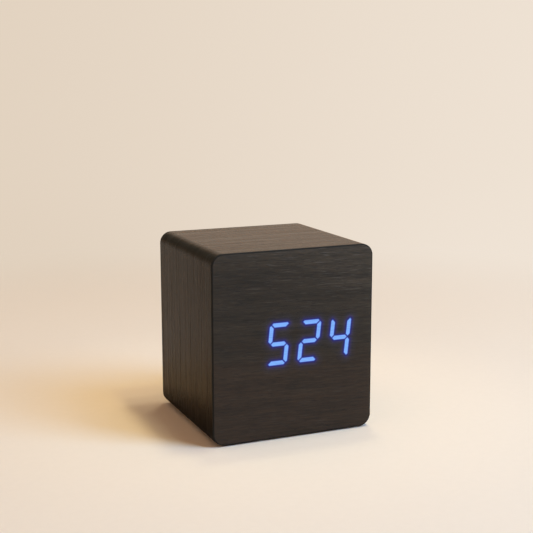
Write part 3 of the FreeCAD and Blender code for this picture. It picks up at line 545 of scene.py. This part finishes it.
def cellFinish(name, node, way):
    f = Finish(name)
    low, high = boxOf(node)
    along = (f.x - low.x) if way > 0 else (high.x - f.x)
    radius = f.length(f.y - (low.y + high.y) / 2, f.z - (low.z + high.z) / 2)
    start, end = cell["minusBare"], high.x - low.x - cell["plusBare"]
    sleeve = f.rise(along, start, start + cell["blur"]) * f.fall(along, end, end + cell["blur"])
    sleeve = sleeve * f.rise(radius, cell["endRadius"], cell["endRadius"] + 0.1)
    bandStart = end - cell["bandLength"]
    band = f.rise(along, bandStart, bandStart + 0.1)
    line = f.fall(abs(along - (bandStart - cell["lineGap"])), 0.12, 0.2)
    scuff = f.rise(f.noise((8.0, 0.5, 0.5), 3.0, 5.0), 0.60, 0.8)
    cloud = f.noise(3.0, 2.0)
    printed = f.mix(f.math("MAXIMUM", band, line), cell["sleeve"], cell["band"])
    printed = f.mix(scuff * 0.12, printed, scuffed)
    return f.surface(f.mix(sleeve, cell["metal"], printed), 0.26 + (cloud - 0.5) * 0.12 + scuff * 0.2,
                     f.relief(cloud + scuff * 0.2, 0.01), {"Metallic": 1.0 - sleeve * (1.0 - band * 0.8)})


coin = {"dark": (0.60, 0.60, 0.58), "light": (0.78, 0.77, 0.74), "marks": 6.0}


def coinFinish(name, node):
    f = Finish(name)
    low, high = boxOf(node)
    rings = f.rings(f.length(f.x - (low.x + high.x) / 2, f.z - (low.z + high.z) / 2), coin["marks"])
    base = f.mix(rings, coin["dark"], coin["light"])
    return f.surface(base, 0.2 + rings * 0.15, f.relief(rings, 0.004), metal)


capacitor = {"sleeve": (0.010, 0.014, 0.040), "stripe": (0.38, 0.40, 0.44), "top": (0.70, 0.70, 0.70),
             "topDepth": 0.25, "stripeFrom": 1.7}


def capacitorFinish(name, node):
    f = Finish(name)
    low, high = boxOf(node)
    top = f.fall(f.y, low.y + capacitor["topDepth"], low.y + capacitor["topDepth"] + 0.1)
    stripe = f.rise(f.x - (low.x + high.x) / 2, capacitor["stripeFrom"], capacitor["stripeFrom"] + 0.1)
    cloud = f.noise(2.0, 2.0)
    base = f.mix(top, f.mix(stripe, capacitor["sleeve"], capacitor["stripe"]), capacitor["top"])
    return f.surface(base, 0.28 + (cloud - 0.5) * 0.15, f.relief(cloud, 0.01), {"Metallic": top})


led = {"phosphor": (0.95, 0.78, 0.22), "case": (0.72, 0.68, 0.55)}


def ledFinish(name):
    f = Finish(name)
    dot = f.cells(0.5)
    base = f.mix(f.rise(dot, 0.1, 0.5), led["phosphor"], led["case"])
    return f.surface(base, 0.22 + dot * 0.1, f.relief(dot, 0.02))


def wireFinish(name, colour, edgeX=None, edgeColour=None):
    f = Finish(name)
    cloud = f.noise(1.4, 2.0)
    base = f.mottle(cloud, colour, 0.8, 1.15)
    if edgeX is not None:    # the ribbon's marked core
        base = f.mix(f.fall(f.x, edgeX - 0.05, edgeX + 0.05), base, edgeColour)
    return f.surface(base, 0.34 + (cloud - 0.5) * 0.2, f.relief(cloud, 0.02))


black = (0.016, 0.016, 0.017)
nickel = (0.70, 0.69, 0.66)
finishes = {
    "felt_pad": foamFinish("padFoam", (0.050, 0.048, 0.046)),
    "fibreboard": fibreboardFinish("fibreboard"),
    "reflector": plasticFinish("reflectorWhite", (0.74, 0.74, 0.72), 0.5, 0.2, 0.01),
    "segment_lit": castFinish("castLit", (0.10, 0.30, 0.85), (0.20, 0.42, 0.95), 0.9),
    "segment_dark": castFinish("castDark", (0.30, 0.32, 0.33), (0.38, 0.40, 0.41)),
    "led_chip": ledFinish("ledChip"),
    "screw_steel": metalFinish("screwSteel", steel, 0.34),
    "chip_black": plasticFinish("chipBlack", black, 0.56, 0.1, 0.01),
    "header": plasticFinish("headerNylon", (0.74, 0.72, 0.66), 0.48, 0.3, 0.01),
    "switch_black": plasticFinish("switchBlack", black, 0.42, 0.12, 0.01),
    "plunger": plasticFinish("plungerIvory", (0.62, 0.59, 0.52), 0.42, 0.2, 0.01),
    "button": buttonFinish("buttonBlack"),
    "jack_pin": metalFinish("pinNickel", nickel, 0.2),
    "microphone": metalFinish("microphoneCan", (0.62, 0.62, 0.62), 0.32),
    "buzzer": plasticFinish("buzzerBlack", black, 0.5, 0.12, 0.01),
    "spring_steel": metalFinish("springSteel", nickel, 0.24, (0.6, 0.6, 0.6)),
    "crystal": metalFinish("crystalCan", (0.66, 0.66, 0.66), 0.3),
    "rear_plate": plasticFinish("plateSpark", (0.020, 0.020, 0.021), 0.52, 0.16, 0.035),
    "tray": plasticFinish("trayBlack", (0.022, 0.022, 0.023), 0.5, 0.2, 0.02),
    "door": plasticFinish("doorSpark", (0.021, 0.021, 0.022), 0.52, 0.16, 0.035),
    "red_wire": wireFinish("wireRed", (0.50, 0.016, 0.014)),
    "black_wire": wireFinish("wireBlack", (0.016, 0.016, 0.016)),
    "ribbon": wireFinish("ribbonGrey", (0.30, 0.31, 0.33), -5.2, (0.42, 0.02, 0.018)),
    "solder": metalFinish("solderTin", (0.66, 0.66, 0.68), 0.26, (0.4, 0.4, 0.4)),
    "coin_cell": coinFinish("coinSteel", "coin_cell"),
    "capacitor": capacitorFinish("capacitorSleeve", "capacitor"),
}
nodeFinishes = {
    "wrap_veneer": veneerFinish("veneerWrap", "Y", wrapVeneer),
    "back_veneer": veneerFinish("veneerBack", "Z", faceVeneer, 40.0),
    "front_veneer": veneerFinish("veneerFront", "Z", faceVeneer, tilt=0.045, isLit=True),
    "rear_plate_screws": screwFinish("plateScrews", 22.4, 36.5),
    "display_board": boardFinish("displayBoardMask", "display_board"),
    "control_board": boardFinish("controlBoardMask", "control_board"),
    "battery_front": cellFinish("cellFront", "battery_front", 1),
    "battery_middle": cellFinish("cellMiddle", "battery_middle", -1),
    "battery_rear": cellFinish("cellRear", "battery_rear", 1),
}
slotOf = {row["node"]: row["material_slot"] for row in frame["record"]["subparts"]}
for name, part in parts.items():
    finish = nodeFinishes.get(name) or finishes[slotOf[name]]
    for slot in part.material_slots:
        slot.material = finish
print("finishes:", len(finishes) + len(nodeFinishes))


def addObject(name, data):
    made = bpy.data.objects.new(name, data)
    bpy.context.scene.collection.objects.link(made)
    return made


def meshObject(name, vertices, faces, material):
    mesh = bpy.data.meshes.new(name)
    mesh.from_pydata([tuple(v) for v in vertices], [], faces)
    mesh.materials.append(material)
    mesh.validate()
    return addObject(name, mesh)


def evaluatedMesh(made):
    bpy.context.view_layer.update()
    return bpy.data.meshes.new_from_object(made.evaluated_get(bpy.context.evaluated_depsgraph_get()))


def smoothBelow(made, degrees):
    # smooth shading, except at edges that are sharper than this
    work = bmesh.new()
    work.from_mesh(made.data)
    bmesh.ops.recalc_face_normals(work, faces=work.faces)
    for face in work.faces:
        face.smooth = True
    for edge in work.edges:
        edge.smooth = edge.is_manifold and edge.calc_face_angle() < math.radians(degrees)
    work.to_mesh(made.data)
    work.free()


# runs a geometry node group on points in mm, or on the path through them, and keeps the result as a plain mesh
def grow(name, tree, points, finish, sizes, smooth, isPath=False):
    mesh = bpy.data.meshes.new(name)
    mesh.from_pydata([tuple(c * mm for c in p) for p in points],
                     [(i, i + 1) for i in range(len(points) - 1)] if isPath else [], [])
    made = addObject(name, mesh)
    modifier = made.modifiers.new("shape", "NODES")
    modifier.node_group = tree
    inputs = {**sizes, "Material": finishes[finish]}
    for item in tree.interface.items_tree:
        if item.in_out == "INPUT" and item.name in inputs:
            modifier[item.identifier] = inputs[item.name]
    result = evaluatedMesh(made)
    made.modifiers.remove(modifier)
    made.data = result
    result.name = name
    smoothBelow(made, smooth)
    return made


def alongNurbs(route):
    # points of the smooth line that has the route's points, in mm, as its control points
    curve = bpy.data.curves.new("route", "CURVE")
    curve.dimensions = "3D"
    curve.resolution_u = 14
    spline = curve.splines.new("NURBS")
    spline.points.add(len(route) - 1)
    for point, place in zip(spline.points, route):
        point.co = (*place, 1.0)
    spline.order_u = 3
    spline.use_endpoint_u = True
    carrier = addObject("route", curve)
    points = [tuple(v.co) for v in evaluatedMesh(carrier).vertices]
    bpy.data.objects.remove(carrier)
    return points


# gives a finished piece its body and hides the nodes that it stands for; slot is not used
def settle(made, slot, *replaced, body="clock_case"):
    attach(made, body)
    if replaced:
        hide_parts(*replaced)
    print("piece:", made.name, "on", body, "with", len(made.data.polygons), "faces")


# front sheet: one veneer sheet with a sanded rim, finely divided where the digits shine through
frontSheet = {
    "rim": 0.4, "rimSteps": 5, "cornerSteps": 10,
    "bands": ((0.22, 0.0, 1.1), (0.44, 1.1, 2.2), (0.9, 2.2, 4.0)),    # spacing, from and to, by distance in mm
    "onEdge": 0.05, "plainEdge": 0.3,                                   # kept free of points, mm
    "farStep": 3.0, "farReach": 30.0,
}


def litOutlines():
    # the front edges of the lit segments, as pairs of (x, z) in mm
    pairs = []
    for name in sorted(part for part in parts if part.endswith("_lit_segments")):
        mesh = parts[name].data
        face = min(v.co.y for v in mesh.vertices) + 1e-5
        count = {}
        key = [(round(v.co.x / mm, 3), round(v.co.z / mm, 3)) for v in mesh.vertices]
        for polygon in mesh.polygons:
            corners = list(polygon.vertices)
            if all(mesh.vertices[i].co.y < face for i in corners):
                for a, b in zip(corners, corners[1:] + corners[:1]):
                    edge = tuple(sorted((key[a], key[b])))
                    count[edge] = count.get(edge, 0) + 1
        pairs += sorted(edge for edge, times in count.items() if times == 1)
    return pairs


def signedDistance(points, pairs):
    # distance to the outlines, below zero inside them
    best = numpy.full(len(points), 1e9)
    inside = numpy.zeros(len(points), bool)
    for a, b in numpy.array(pairs):
        run = b - a
        t = numpy.clip(((points - a) @ run) / (run @ run), 0, 1)
        best = numpy.minimum(best, numpy.linalg.norm(points - a - t[:, None] * run, axis=1))
        crosses = (a[1] > points[:, 1]) != (b[1] > points[:, 1])
        if a[1] != b[1]:
            at = a[0] + (points[:, 1] - a[1]) / (b[1] - a[1]) * run[0]
            inside ^= crosses & (points[:, 0] < at)
    return numpy.where(inside, -best, best)


def sheetOutlines(low, high):
    # the sheet's outline at each step round its rim, from the face to the back
    rim, rimSteps, cornerSteps = frontSheet["rim"], frontSheet["rimSteps"], frontSheet["cornerSteps"]
    halfWidth, halfHeight, centreZ = (high.x - low.x) / 2, (high.z - low.z) / 2, (high.z + low.z) / 2
    turns = [math.radians(90 * k / rimSteps) for k in range(rimSteps + 1)]
    rings = [(rim * (1 - math.sin(turn)), low.y + rim * (1 - math.cos(turn))) for turn in turns]
    outlines = []
    for inset, y in rings + [(0.0, high.y)]:
        radius = outline["radius"] - inset
        line = []
        for sx, sz, start in ((1, 1, 0), (-1, 1, 90), (-1, -1, 180), (1, -1, 270)):
            for k in range(cornerSteps + 1):
                turn = math.radians(start + 90 * k / cornerSteps)
                line.append((sx * (halfWidth - inset - radius) + radius * math.cos(turn), y,
                             centreZ + sz * (halfHeight - inset - radius) + radius * math.sin(turn)))
        outlines.append(line)
    return outlines


def sheetSpots(low, high, pairs):
    # points on the face: close together by the segments' edges, where the glow changes, and wide apart elsewhere
    spots = []
    corners = numpy.array(pairs).reshape(-1, 2)
    reach = displayGlow["reach"]
    widest = (high.x - low.x) / 2 - frontSheet["rim"] - frontSheet["plainEdge"]
    for step, near, far in frontSheet["bands"]:
        xs = numpy.arange(corners[:, 0].min() - reach, corners[:, 0].max() + reach, step)
        zs = numpy.arange(corners[:, 1].min() - reach, corners[:, 1].max() + reach, step)
        grid = numpy.stack(numpy.meshgrid(xs, zs), -1).reshape(-1, 2)
        distance = numpy.abs(signedDistance(grid, pairs))
        keep = (distance >= max(near, frontSheet["onEdge"])) & (distance < far)
        keep &= numpy.abs(grid[:, 0]) < widest
        spots += [tuple(p) for p in grid[keep]]
    step, wide = frontSheet["farStep"], frontSheet["farReach"]
    for x in numpy.arange(-wide, wide + 0.1, step):
        for z in numpy.arange(low.z + step, high.z - step + 0.1, step):
            if numpy.abs(signedDistance(numpy.array([[x, z]]), pairs))[0] > reach:
                spots.append((x, z))
    return spots


def makeFrontSheet():
    low, high = boxOf("front_veneer")
    outlines = sheetOutlines(low, high)
    count = len(outlines[0])
    border = [(x, z) for x, y, z in outlines[0]]
    pairs = litOutlines()
    ends = sorted({end for pair in pairs for end in pair})
    index = {end: count + i for i, end in enumerate(ends)}
    points = [Vector(p) for p in border + ends + sheetSpots(low, high, pairs)]
    edges = [(i, (i + 1) % count) for i in range(count)] + [(index[a], index[b]) for a, b in pairs]
    flat, _, triangles, *_ = delaunay_2d_cdt(points, edges, [list(range(count))], 1, 1e-5)
    flat = numpy.array([tuple(p) for p in flat])

    vertices = [(x * mm, low.y * mm, z * mm) for x, z in flat]
    where = {tuple(numpy.round(p, 4)): i for i, p in enumerate(flat)}
    ring = [where[tuple(numpy.round(p, 4))] for p in border]
    faces = [tuple(t) for t in triangles]
    for line in outlines[1:]:
        start = len(vertices)
        vertices += [(x * mm, y * mm, z * mm) for x, y, z in line]
        new = list(range(start, start + count))
        faces += [(ring[i], new[i], new[(i + 1) % count], ring[(i + 1) % count]) for i in range(count)]
        ring = new
    faces.append(tuple(ring))
    made = meshObject("front_sheet", vertices, faces, nodeFinishes["front_veneer"])
    smoothBelow(made, 40)
    places = numpy.array([(v.co.x / mm, v.co.z / mm) for v in made.data.vertices])
    distance = numpy.clip(signedDistance(places, pairs), -displayGlow["inside"], displayGlow["reach"])
    layer = made.data.attributes.new("litDistance", "FLOAT", "POINT")
    layer.data.foreach_set("value", distance.astype(numpy.float32))
    settle(made, "veneer", "front_veneer")


makeFrontSheet()

# flat ribbon cable between the two boards
ribbon = {
    "sizes": {"Cores": 10, "Pitch": 1.27 * mm, "Core Radius": 0.45 * mm, "Web": 0.15 * mm, "Outline Points": 160},
    "route": [(0, -16.5, 47.5), (0, -9.5, 47.5), (0, -4, 55), (0, 2, 56), (0, 5, 51), (0, 9.9, 51)],
}


def ribbonShape():
    g = Shape("ribbonShape", ribbon["sizes"])
    count, pitch, radius = g.size("Outline Points"), g.size("Pitch"), g.size("Core Radius")
    middle = (count - 1) * 0.5
    index = g.node("GeometryNodeInputIndex")
    along = (middle - abs(index - middle)) / (count * 0.5 - 1)
    x = (along - 0.5) * ((g.size("Cores") - 1) * pitch + radius * 2)
    local = (g.math("FRACT", x / pitch + g.size("Cores") * 0.5) - 0.5) * pitch
    web = g.size("Web") * 0.5
    rise = g.math("SQRT", g.math("MAXIMUM", radius * radius - local * local, web * web))
    section = g.reshaped(g.circle(count, 1 * mm), x, g.math("SIGN", middle - index) * rise, 0.0)
    path = g.node("GeometryNodeSetCurveNormal", {"mode": "FREE"}, {"Curve": g.path(), "Normal": (1.0, 0.0, 0.0)})
    return g.end(g.tube(path, section))


settle(grow("ribbon_flat_cable", ribbonShape(), alongNurbs(ribbon["route"]), "ribbon", ribbon["sizes"], 50,
            isPath=True), "ribbon", "ribbon_cable")

# insulated leads from the battery contacts to the control board
leads = {
    "sizes": {"Radius": 0.6 * mm, "Sides": 14},
    "red_lead": [(24.15, -11.2, 17.6), (24.15, -11.2, 23), (22, -6, 27), (17.5, 1, 27.5), (13, 8, 25),
                 (13, 15.4, 25)],
    "black_lead": [(-24.15, 11.2, 17.6), (-24.15, 11.2, 23), (-22, 9, 27), (-18, 8.5, 28.5),
                   (-14.5, 10.8, 26.5), (-14.5, 15.4, 26.5)],
}


def leadShape():
    g = Shape("leadShape", leads["sizes"])
    return g.end(g.tube(g.path(), g.circle(g.size("Sides"), g.size("Radius"))))


tree = leadShape()
for node, slot in (("red_lead", "red_wire"), ("black_lead", "black_wire")):
    made = grow(node + "_wire", tree, alongNurbs(leads[node]), slot, leads["sizes"], 60, isPath=True)
    settle(made, slot, node)

# raised rings on the rear plate, round each button and the power socket
collars = {
    "sizes": {"Ring": 3.05 * mm, "Thickness": 0.56 * mm, "Segments": 72},
    "buttons": [(-11, 29.2, 41.5), (0, 29.2, 41.5), (11, 29.2, 41.5)],
    "socket": [(10, 29.2, 31)], "socketRing": 3.60 * mm,
}
upright = {"Rotation": (math.radians(90), 0, 0)}    # from lying flat to flat against the rear plate


def collarShape():
    g = Shape("collarShape", collars["sizes"])
    ring, section = g.circle(g.size("Segments"), g.size("Ring")), g.circle(12, g.size("Thickness") * 0.5)
    return g.end(g.onPoints(g.changed(g.tube(ring, section), upright)))


tree = collarShape()
for name, places, ring in (("button_collars", collars["buttons"], collars["sizes"]["Ring"]),
                           ("socket_collar", collars["socket"], collars["socketRing"])):
    settle(grow(name, tree, places, "rear_plate", {**collars["sizes"], "Ring": ring}, 60), "rear_plate")

# raised frame round the mode switch's slot, and two dots that mark its ends
slotFrame = {
    "sizes": {"Width": 5.3 * mm, "Height": 3.3 * mm, "Corner": 0.85 * mm, "Thickness": 0.5 * mm},
    "place": (-9, 29.2, 31),
    "dotSizes": {"Radius": 0.34 * mm, "Height": 0.18 * mm},
    "dots": [(-10, 29.27, 28.6), (-8, 29.27, 28.6)],
}


def slotFrameShape():
    g = Shape("slotFrameShape", slotFrame["sizes"])
    edge = g.node("GeometryNodeCurvePrimitiveQuadrilateral", {"mode": "RECTANGLE"}, {
        "Width": g.size("Width"), "Height": g.size("Height")}, "Curve")
    edge = g.node("GeometryNodeFilletCurve", {"mode": "POLY"}, {
        "Curve": edge, "Count": 8, "Radius": g.size("Corner"), "Limit Radius": True})
    section = g.circle(12, g.size("Thickness") * 0.5)
    return g.end(g.onPoints(g.changed(g.tube(edge, section), upright)))


def dotShape():
    g = Shape("dotShape", slotFrame["dotSizes"])
    ball = g.node("GeometryNodeMeshUVSphere", {}, {"Segments": 20, "Rings": 12, "Radius": g.size("Radius")}, "Mesh")
    flat = g.changed(ball, {"Scale": g.combine(1.0, g.size("Height") / g.size("Radius"), 1.0)})
    return g.end(g.onPoints(flat))


for name, tree, places, finish, sizes in (
        ("slot_frame", slotFrameShape(), [slotFrame["place"]], "rear_plate", slotFrame["sizes"]),
        ("slot_dots", dotShape(), slotFrame["dots"], "header", slotFrame["dotSizes"])):
    settle(grow(name, tree, places, finish, sizes, 60), "rear_plate")

# stiffening ribs inside the battery door, thinner towards their tops and sunk at their ends
doorRibs = {
    "sizes": {"Thickness": 0.8 * mm, "Length": 22.0 * mm, "Height": 0.5 * mm, "Draft": 0.3},
    "places": [(-22 + 4 * k, -2.5, 2.28) for k in range(12)],
}


def ribShape():
    g = Shape("ribShape", doorRibs["sizes"])
    height = g.size("Height")
    block = g.node("GeometryNodeMeshCube", {}, {
        "Size": g.combine(g.size("Thickness"), g.size("Length"), height), "Vertices Y": 12}, "Mesh")
    x, y, z = g.split(g.node("GeometryNodeInputPosition"))
    isTop = g.math("GREATER_THAN", z, 0.0)
    end = abs(y) / g.size("Length") * 2
    low = g.math("GREATER_THAN", end, 0.93) * isTop * height * 0.6
    return g.end(g.onPoints(g.reshaped(block, x * (1.0 - isTop * g.size("Draft")), y, z + height * 0.5 - low)))


made = grow("door_ribs", ribShape(), doorRibs["places"], "door", doorRibs["sizes"], 20)
settle(made, "door", body="battery_cover")

# solder joints with clipped pins on the control board: places across and up on its front and back, in mm
joints = {
    "sizes": {"Cone Radius": 0.72 * mm, "Cone Top": 0.30 * mm, "Cone Height": 0.50 * mm,
              "Pin Radius": 0.22 * mm, "Pin Height": 1.0 * mm, "Facing": 1.0},
    "frontY": 15.4, "backY": 17.0,
    "front": [(-14.25, 39.25), (-14.25, 43.75), (-3.25, 39.25), (-3.25, 43.75), (3.25, 43.75),
              (-11, 32), (-9, 32), (-7, 32), (-13.2, 30), (-4.8, 30), (-1.2, 31), (1.2, 31),
              (6.8, 30.5), (13.3, 30.5), (10, 27.8), (13, 25), (-14.5, 26.5)],
    "back": [((k - 4.5) * 1.27, 51 + (0.8 if k % 2 else -0.8)) for k in range(10)] + [(-1.4, 47.6), (1.4, 47.6)],
}


def jointShape():
    g = Shape("jointShape", joints["sizes"])
    cone = g.node("GeometryNodeMeshCone", {}, {
        "Vertices": 16, "Side Segments": 3, "Radius Bottom": g.size("Cone Radius"),
        "Radius Top": g.size("Cone Top"), "Depth": g.size("Cone Height")}, "Mesh")
    pin = g.node("GeometryNodeMeshCone", {}, {
        "Vertices": 10, "Side Segments": 1, "Radius Bottom": g.size("Pin Radius"),
        "Radius Top": g.size("Pin Radius") * 0.8, "Depth": g.size("Pin Height")}, "Mesh")
    both = g.node("GeometryNodeJoinGeometry", {}, {0: pin})
    g.feed(both.socket.node.inputs[0], cone)
    turn = g.combine(g.size("Facing") * (-math.pi / 2), 0.0, 0.0)
    return g.end(g.onPoints(g.changed(both, {"Rotation": turn})))


tree = jointShape()
for side, facing in (("front", -1.0), ("back", 1.0)):
    places = [(x, joints[side + "Y"], z) for x, z in joints[side]]
    sizes = {**joints["sizes"], "Facing": facing}
    settle(grow("solder_joints_" + side, tree, places, "solder", sizes, 40), "screw_steel")

# small resistors on the back of the display board: dark bodies between tinned caps
resistors = {
    "bodySizes": {"Length": 1.0 * mm, "Width": 0.8 * mm, "Height": 0.45 * mm, "Bevel": 0.06 * mm},
    "capSizes": {"Length": 0.3 * mm, "Width": 0.83 * mm, "Height": 0.48 * mm, "Bevel": 0.06 * mm},
    "bodies": [(-14 + 4 * k, -21.775, 27.0) for k in range(8)],
    "caps": [(-14 + 4 * k + shift, -21.775, 27.0) for k in range(8) for shift in (-0.65, 0.65)],
}


def chipShape():
    g = Shape("chipShape", resistors["bodySizes"])
    block = g.node("GeometryNodeMeshCube", {}, {
        "Size": g.combine(g.size("Length"), g.size("Height"), g.size("Width")),
        "Vertices X": 4, "Vertices Y": 4, "Vertices Z": 4}, "Mesh")
    place = []
    for value, label in zip(g.split(g.node("GeometryNodeInputPosition")), ("Length", "Height", "Width")):
        half = g.size(label) * 0.5
        inner = g.math("LESS_THAN", abs(value), half * 0.9)
        edge = g.math("SIGN", value) * (half - g.size("Bevel"))
        place.append(inner * edge + (1.0 - inner) * value)
    return g.end(g.onPoints(g.reshaped(block, *place)))


tree = chipShape()
for name, places, sizes, finish, slot in (
        ("resistor_bodies", "bodies", "bodySizes", "chip_black", "chip_black"),
        ("resistor_caps", "caps", "capSizes", "solder", "screw_steel")):
    settle(grow(name, tree, resistors[places], finish, resistors[sizes], 50), slot)

# stage: a pale floor that rises all round into a seamless wall, in metres
stage = {
    "floorRings": (0.15, 0.3, 0.5, 0.75), "floorRadius": 0.95, "bendRadius": 0.55, "bendSteps": 16,
    "wallTop": 1.5, "turns": 96,
    "floor": (0.86, 0.757, 0.645),
    "wallLeft": (0.753, 0.637, 0.515), "wallRight": (0.865, 0.768, 0.665),
    "fadeStart": 0.16, "fadeEnd": 0.42,    # where the lit floor gives way to the wall tone
    "across": (0.918, -0.396, 0.0),        # the way that the wall's painted light runs, darker at the left and lighter at the right
}


def stageFinish():
    f = Finish("paperCream")
    lit = f.shader(f.mottle(f.noise(3.0, 3.0), stage["floor"], 0.995, 1.005), 0.9, {"Specular IOR Level": 0.1})
    away = f.node("ShaderNodeVectorMath", {"operation": "LENGTH"}, {0: f.place}, "Value")
    heading = f.node("ShaderNodeVectorMath", {"operation": "NORMALIZE"}, {0: f.place})
    across = f.node("ShaderNodeVectorMath", {"operation": "DOT_PRODUCT"}, {0: heading, 1: stage["across"]}, "Value")
    # painted light: the wall is darker at the left and lighter at the right
    wall = f.mix(f.rise(across, -0.5, 0.5), stage["wallLeft"], stage["wallRight"])
    paintedWallLight = f.node("ShaderNodeEmission", {}, {"Color": wall, "Strength": 1.0})
    ray = f.node("ShaderNodeLightPath", output="Is Camera Ray")
    seen = f.math("MAXIMUM", ray, f.math("MAXIMUM", ray.also("Is Glossy Ray"), ray.also("Is Transmission Ray")))
    return f.show(f.blend(seen * f.rise(away, stage["fadeStart"], stage["fadeEnd"]), lit, paintedWallLight))


def makeStage():
    profile = [(r, 0.0) for r in stage["floorRings"]]
    for k in range(stage["bendSteps"] + 1):
        turn = math.radians(90 * k / stage["bendSteps"])
        profile.append((stage["floorRadius"] + stage["bendRadius"] * math.sin(turn),
                        stage["bendRadius"] * (1 - math.cos(turn))))
    profile.append((stage["floorRadius"] + stage["bendRadius"], stage["wallTop"]))
    turns = stage["turns"]
    vertices = [(0, 0, 0)]
    for r, z in profile:
        vertices += [(r * math.cos(2 * math.pi * k / turns), r * math.sin(2 * math.pi * k / turns), z)
                     for k in range(turns)]
    faces = [(0, 1 + k, 1 + (k + 1) % turns) for k in range(turns)]
    for row in range(len(profile) - 1):
        a, b = 1 + row * turns, 1 + (row + 1) * turns
        faces += [(a + k, b + k, b + (k + 1) % turns, a + (k + 1) % turns) for k in range(turns)]
    made = meshObject("stage", vertices, faces, stageFinish())
    for polygon in made.data.polygons:
        polygon.use_smooth = True
    print("stage:", len(faces), "faces")


makeStage()

# lamps: turn is counted from straight in front towards the right, up from the floor, in degrees, and level
# is the brightness that a white card facing the lamp has where it aims; sizes and places are in metres
lamps = {
    "skyWindowHigh": {"turn": 45, "up": 55, "size": 0.35, "colour": (0.265, 0.566, 1.0), "level": 0.339},
    "skyWindowLow": {"turn": 45, "up": 35, "size": 0.35, "colour": (0.344, 0.631, 1.0), "level": 0.556},
    "ceilingRight": {"turn": 90, "up": 78, "size": 0.10, "colour": (1.0, 0.913, 0.641), "level": 0.184},
    "ceilingBack": {"turn": 150, "up": 78, "size": 0.10, "colour": (1.0, 0.95, 0.647), "level": 0.119},
    "ceilingFront": {"turn": 30, "up": 70, "size": 0.10, "colour": (1.0, 0.798, 0.235), "level": 0.119},
    "pool": {"turn": 50, "up": 78, "size": 0.04, "colour": (1.0, 0.833, 0.542), "level": 0.120,
             "poolRadius": 0.125, "poolBlend": 0.5, "aim": (0.005, 0.01, 0.0)},
}
lampAim = (0, 0, 0.03)
lampDistance = 1.0
world = {"colour": (1.0, 0.647, 0.413), "level": 0.462}


def makeLamps():
    for name, lamp in lamps.items():
        turn, up = math.radians(lamp["turn"]), math.radians(lamp["up"])
        way = Vector((math.cos(up) * math.sin(turn), -math.cos(up) * math.cos(turn), math.sin(up)))
        power = lamp["level"] * math.pi ** 2 * lampDistance ** 2
        if "poolRadius" in lamp:
            data = bpy.data.lights.new(name, "SPOT")
            data.spot_size = 2 * math.atan(lamp["poolRadius"] / lampDistance)
            data.spot_blend = lamp["poolBlend"]
            data.shadow_soft_size = lamp["size"]
            data.energy = 4 * power
        else:
            data = bpy.data.lights.new(name, "AREA")
            data.size = lamp["size"]
            data.energy = power
        data.color = lamp["colour"]
        made = addObject(name, data)
        made.location = Vector(lamp.get("aim", lampAim)) + way * lampDistance
        made.rotation_euler = (-way).to_track_quat("-Z", "Y").to_euler()
    sky = bpy.data.worlds.new("studio")
    sky.use_nodes = True
    g = Graph(sky.node_tree)
    light = g.node("ShaderNodeBackground", {}, {"Color": world["colour"], "Strength": world["level"]})
    g.node("ShaderNodeOutputWorld", {}, {"Surface": light})
    bpy.context.scene.world = sky
    print("lamps:", len(lamps))


makeLamps()

# camera: stands to the left of the clock and looks slightly down; place in metres, angles in degrees
camera = {"place": (-0.16702, -0.39131, 0.14003), "turn": 23.306, "down": 10.546, "roll": -0.0757,
          "lens": 73.976, "sensor": 36.0, "clip": (0.01, 20.0)}


def makeCamera():
    data = bpy.data.cameras.new("camera")
    data.sensor_width = camera["sensor"]
    data.lens = camera["lens"]
    data.clip_start, data.clip_end = camera["clip"]
    made = addObject("camera", data)
    turn = Matrix.Rotation(-math.radians(camera["turn"]), 4, "Z")
    down = Matrix.Rotation(math.radians(90 - camera["down"]), 4, "X")
    roll = Matrix.Rotation(math.radians(camera["roll"]), 4, "Z")
    made.matrix_world = Matrix.Translation(camera["place"]) @ turn @ down @ roll
    bpy.context.scene.camera = made
    print("camera:", camera["lens"], "mm lens")


makeCamera()
bpy.context.scene.view_settings.view_transform = "Standard"
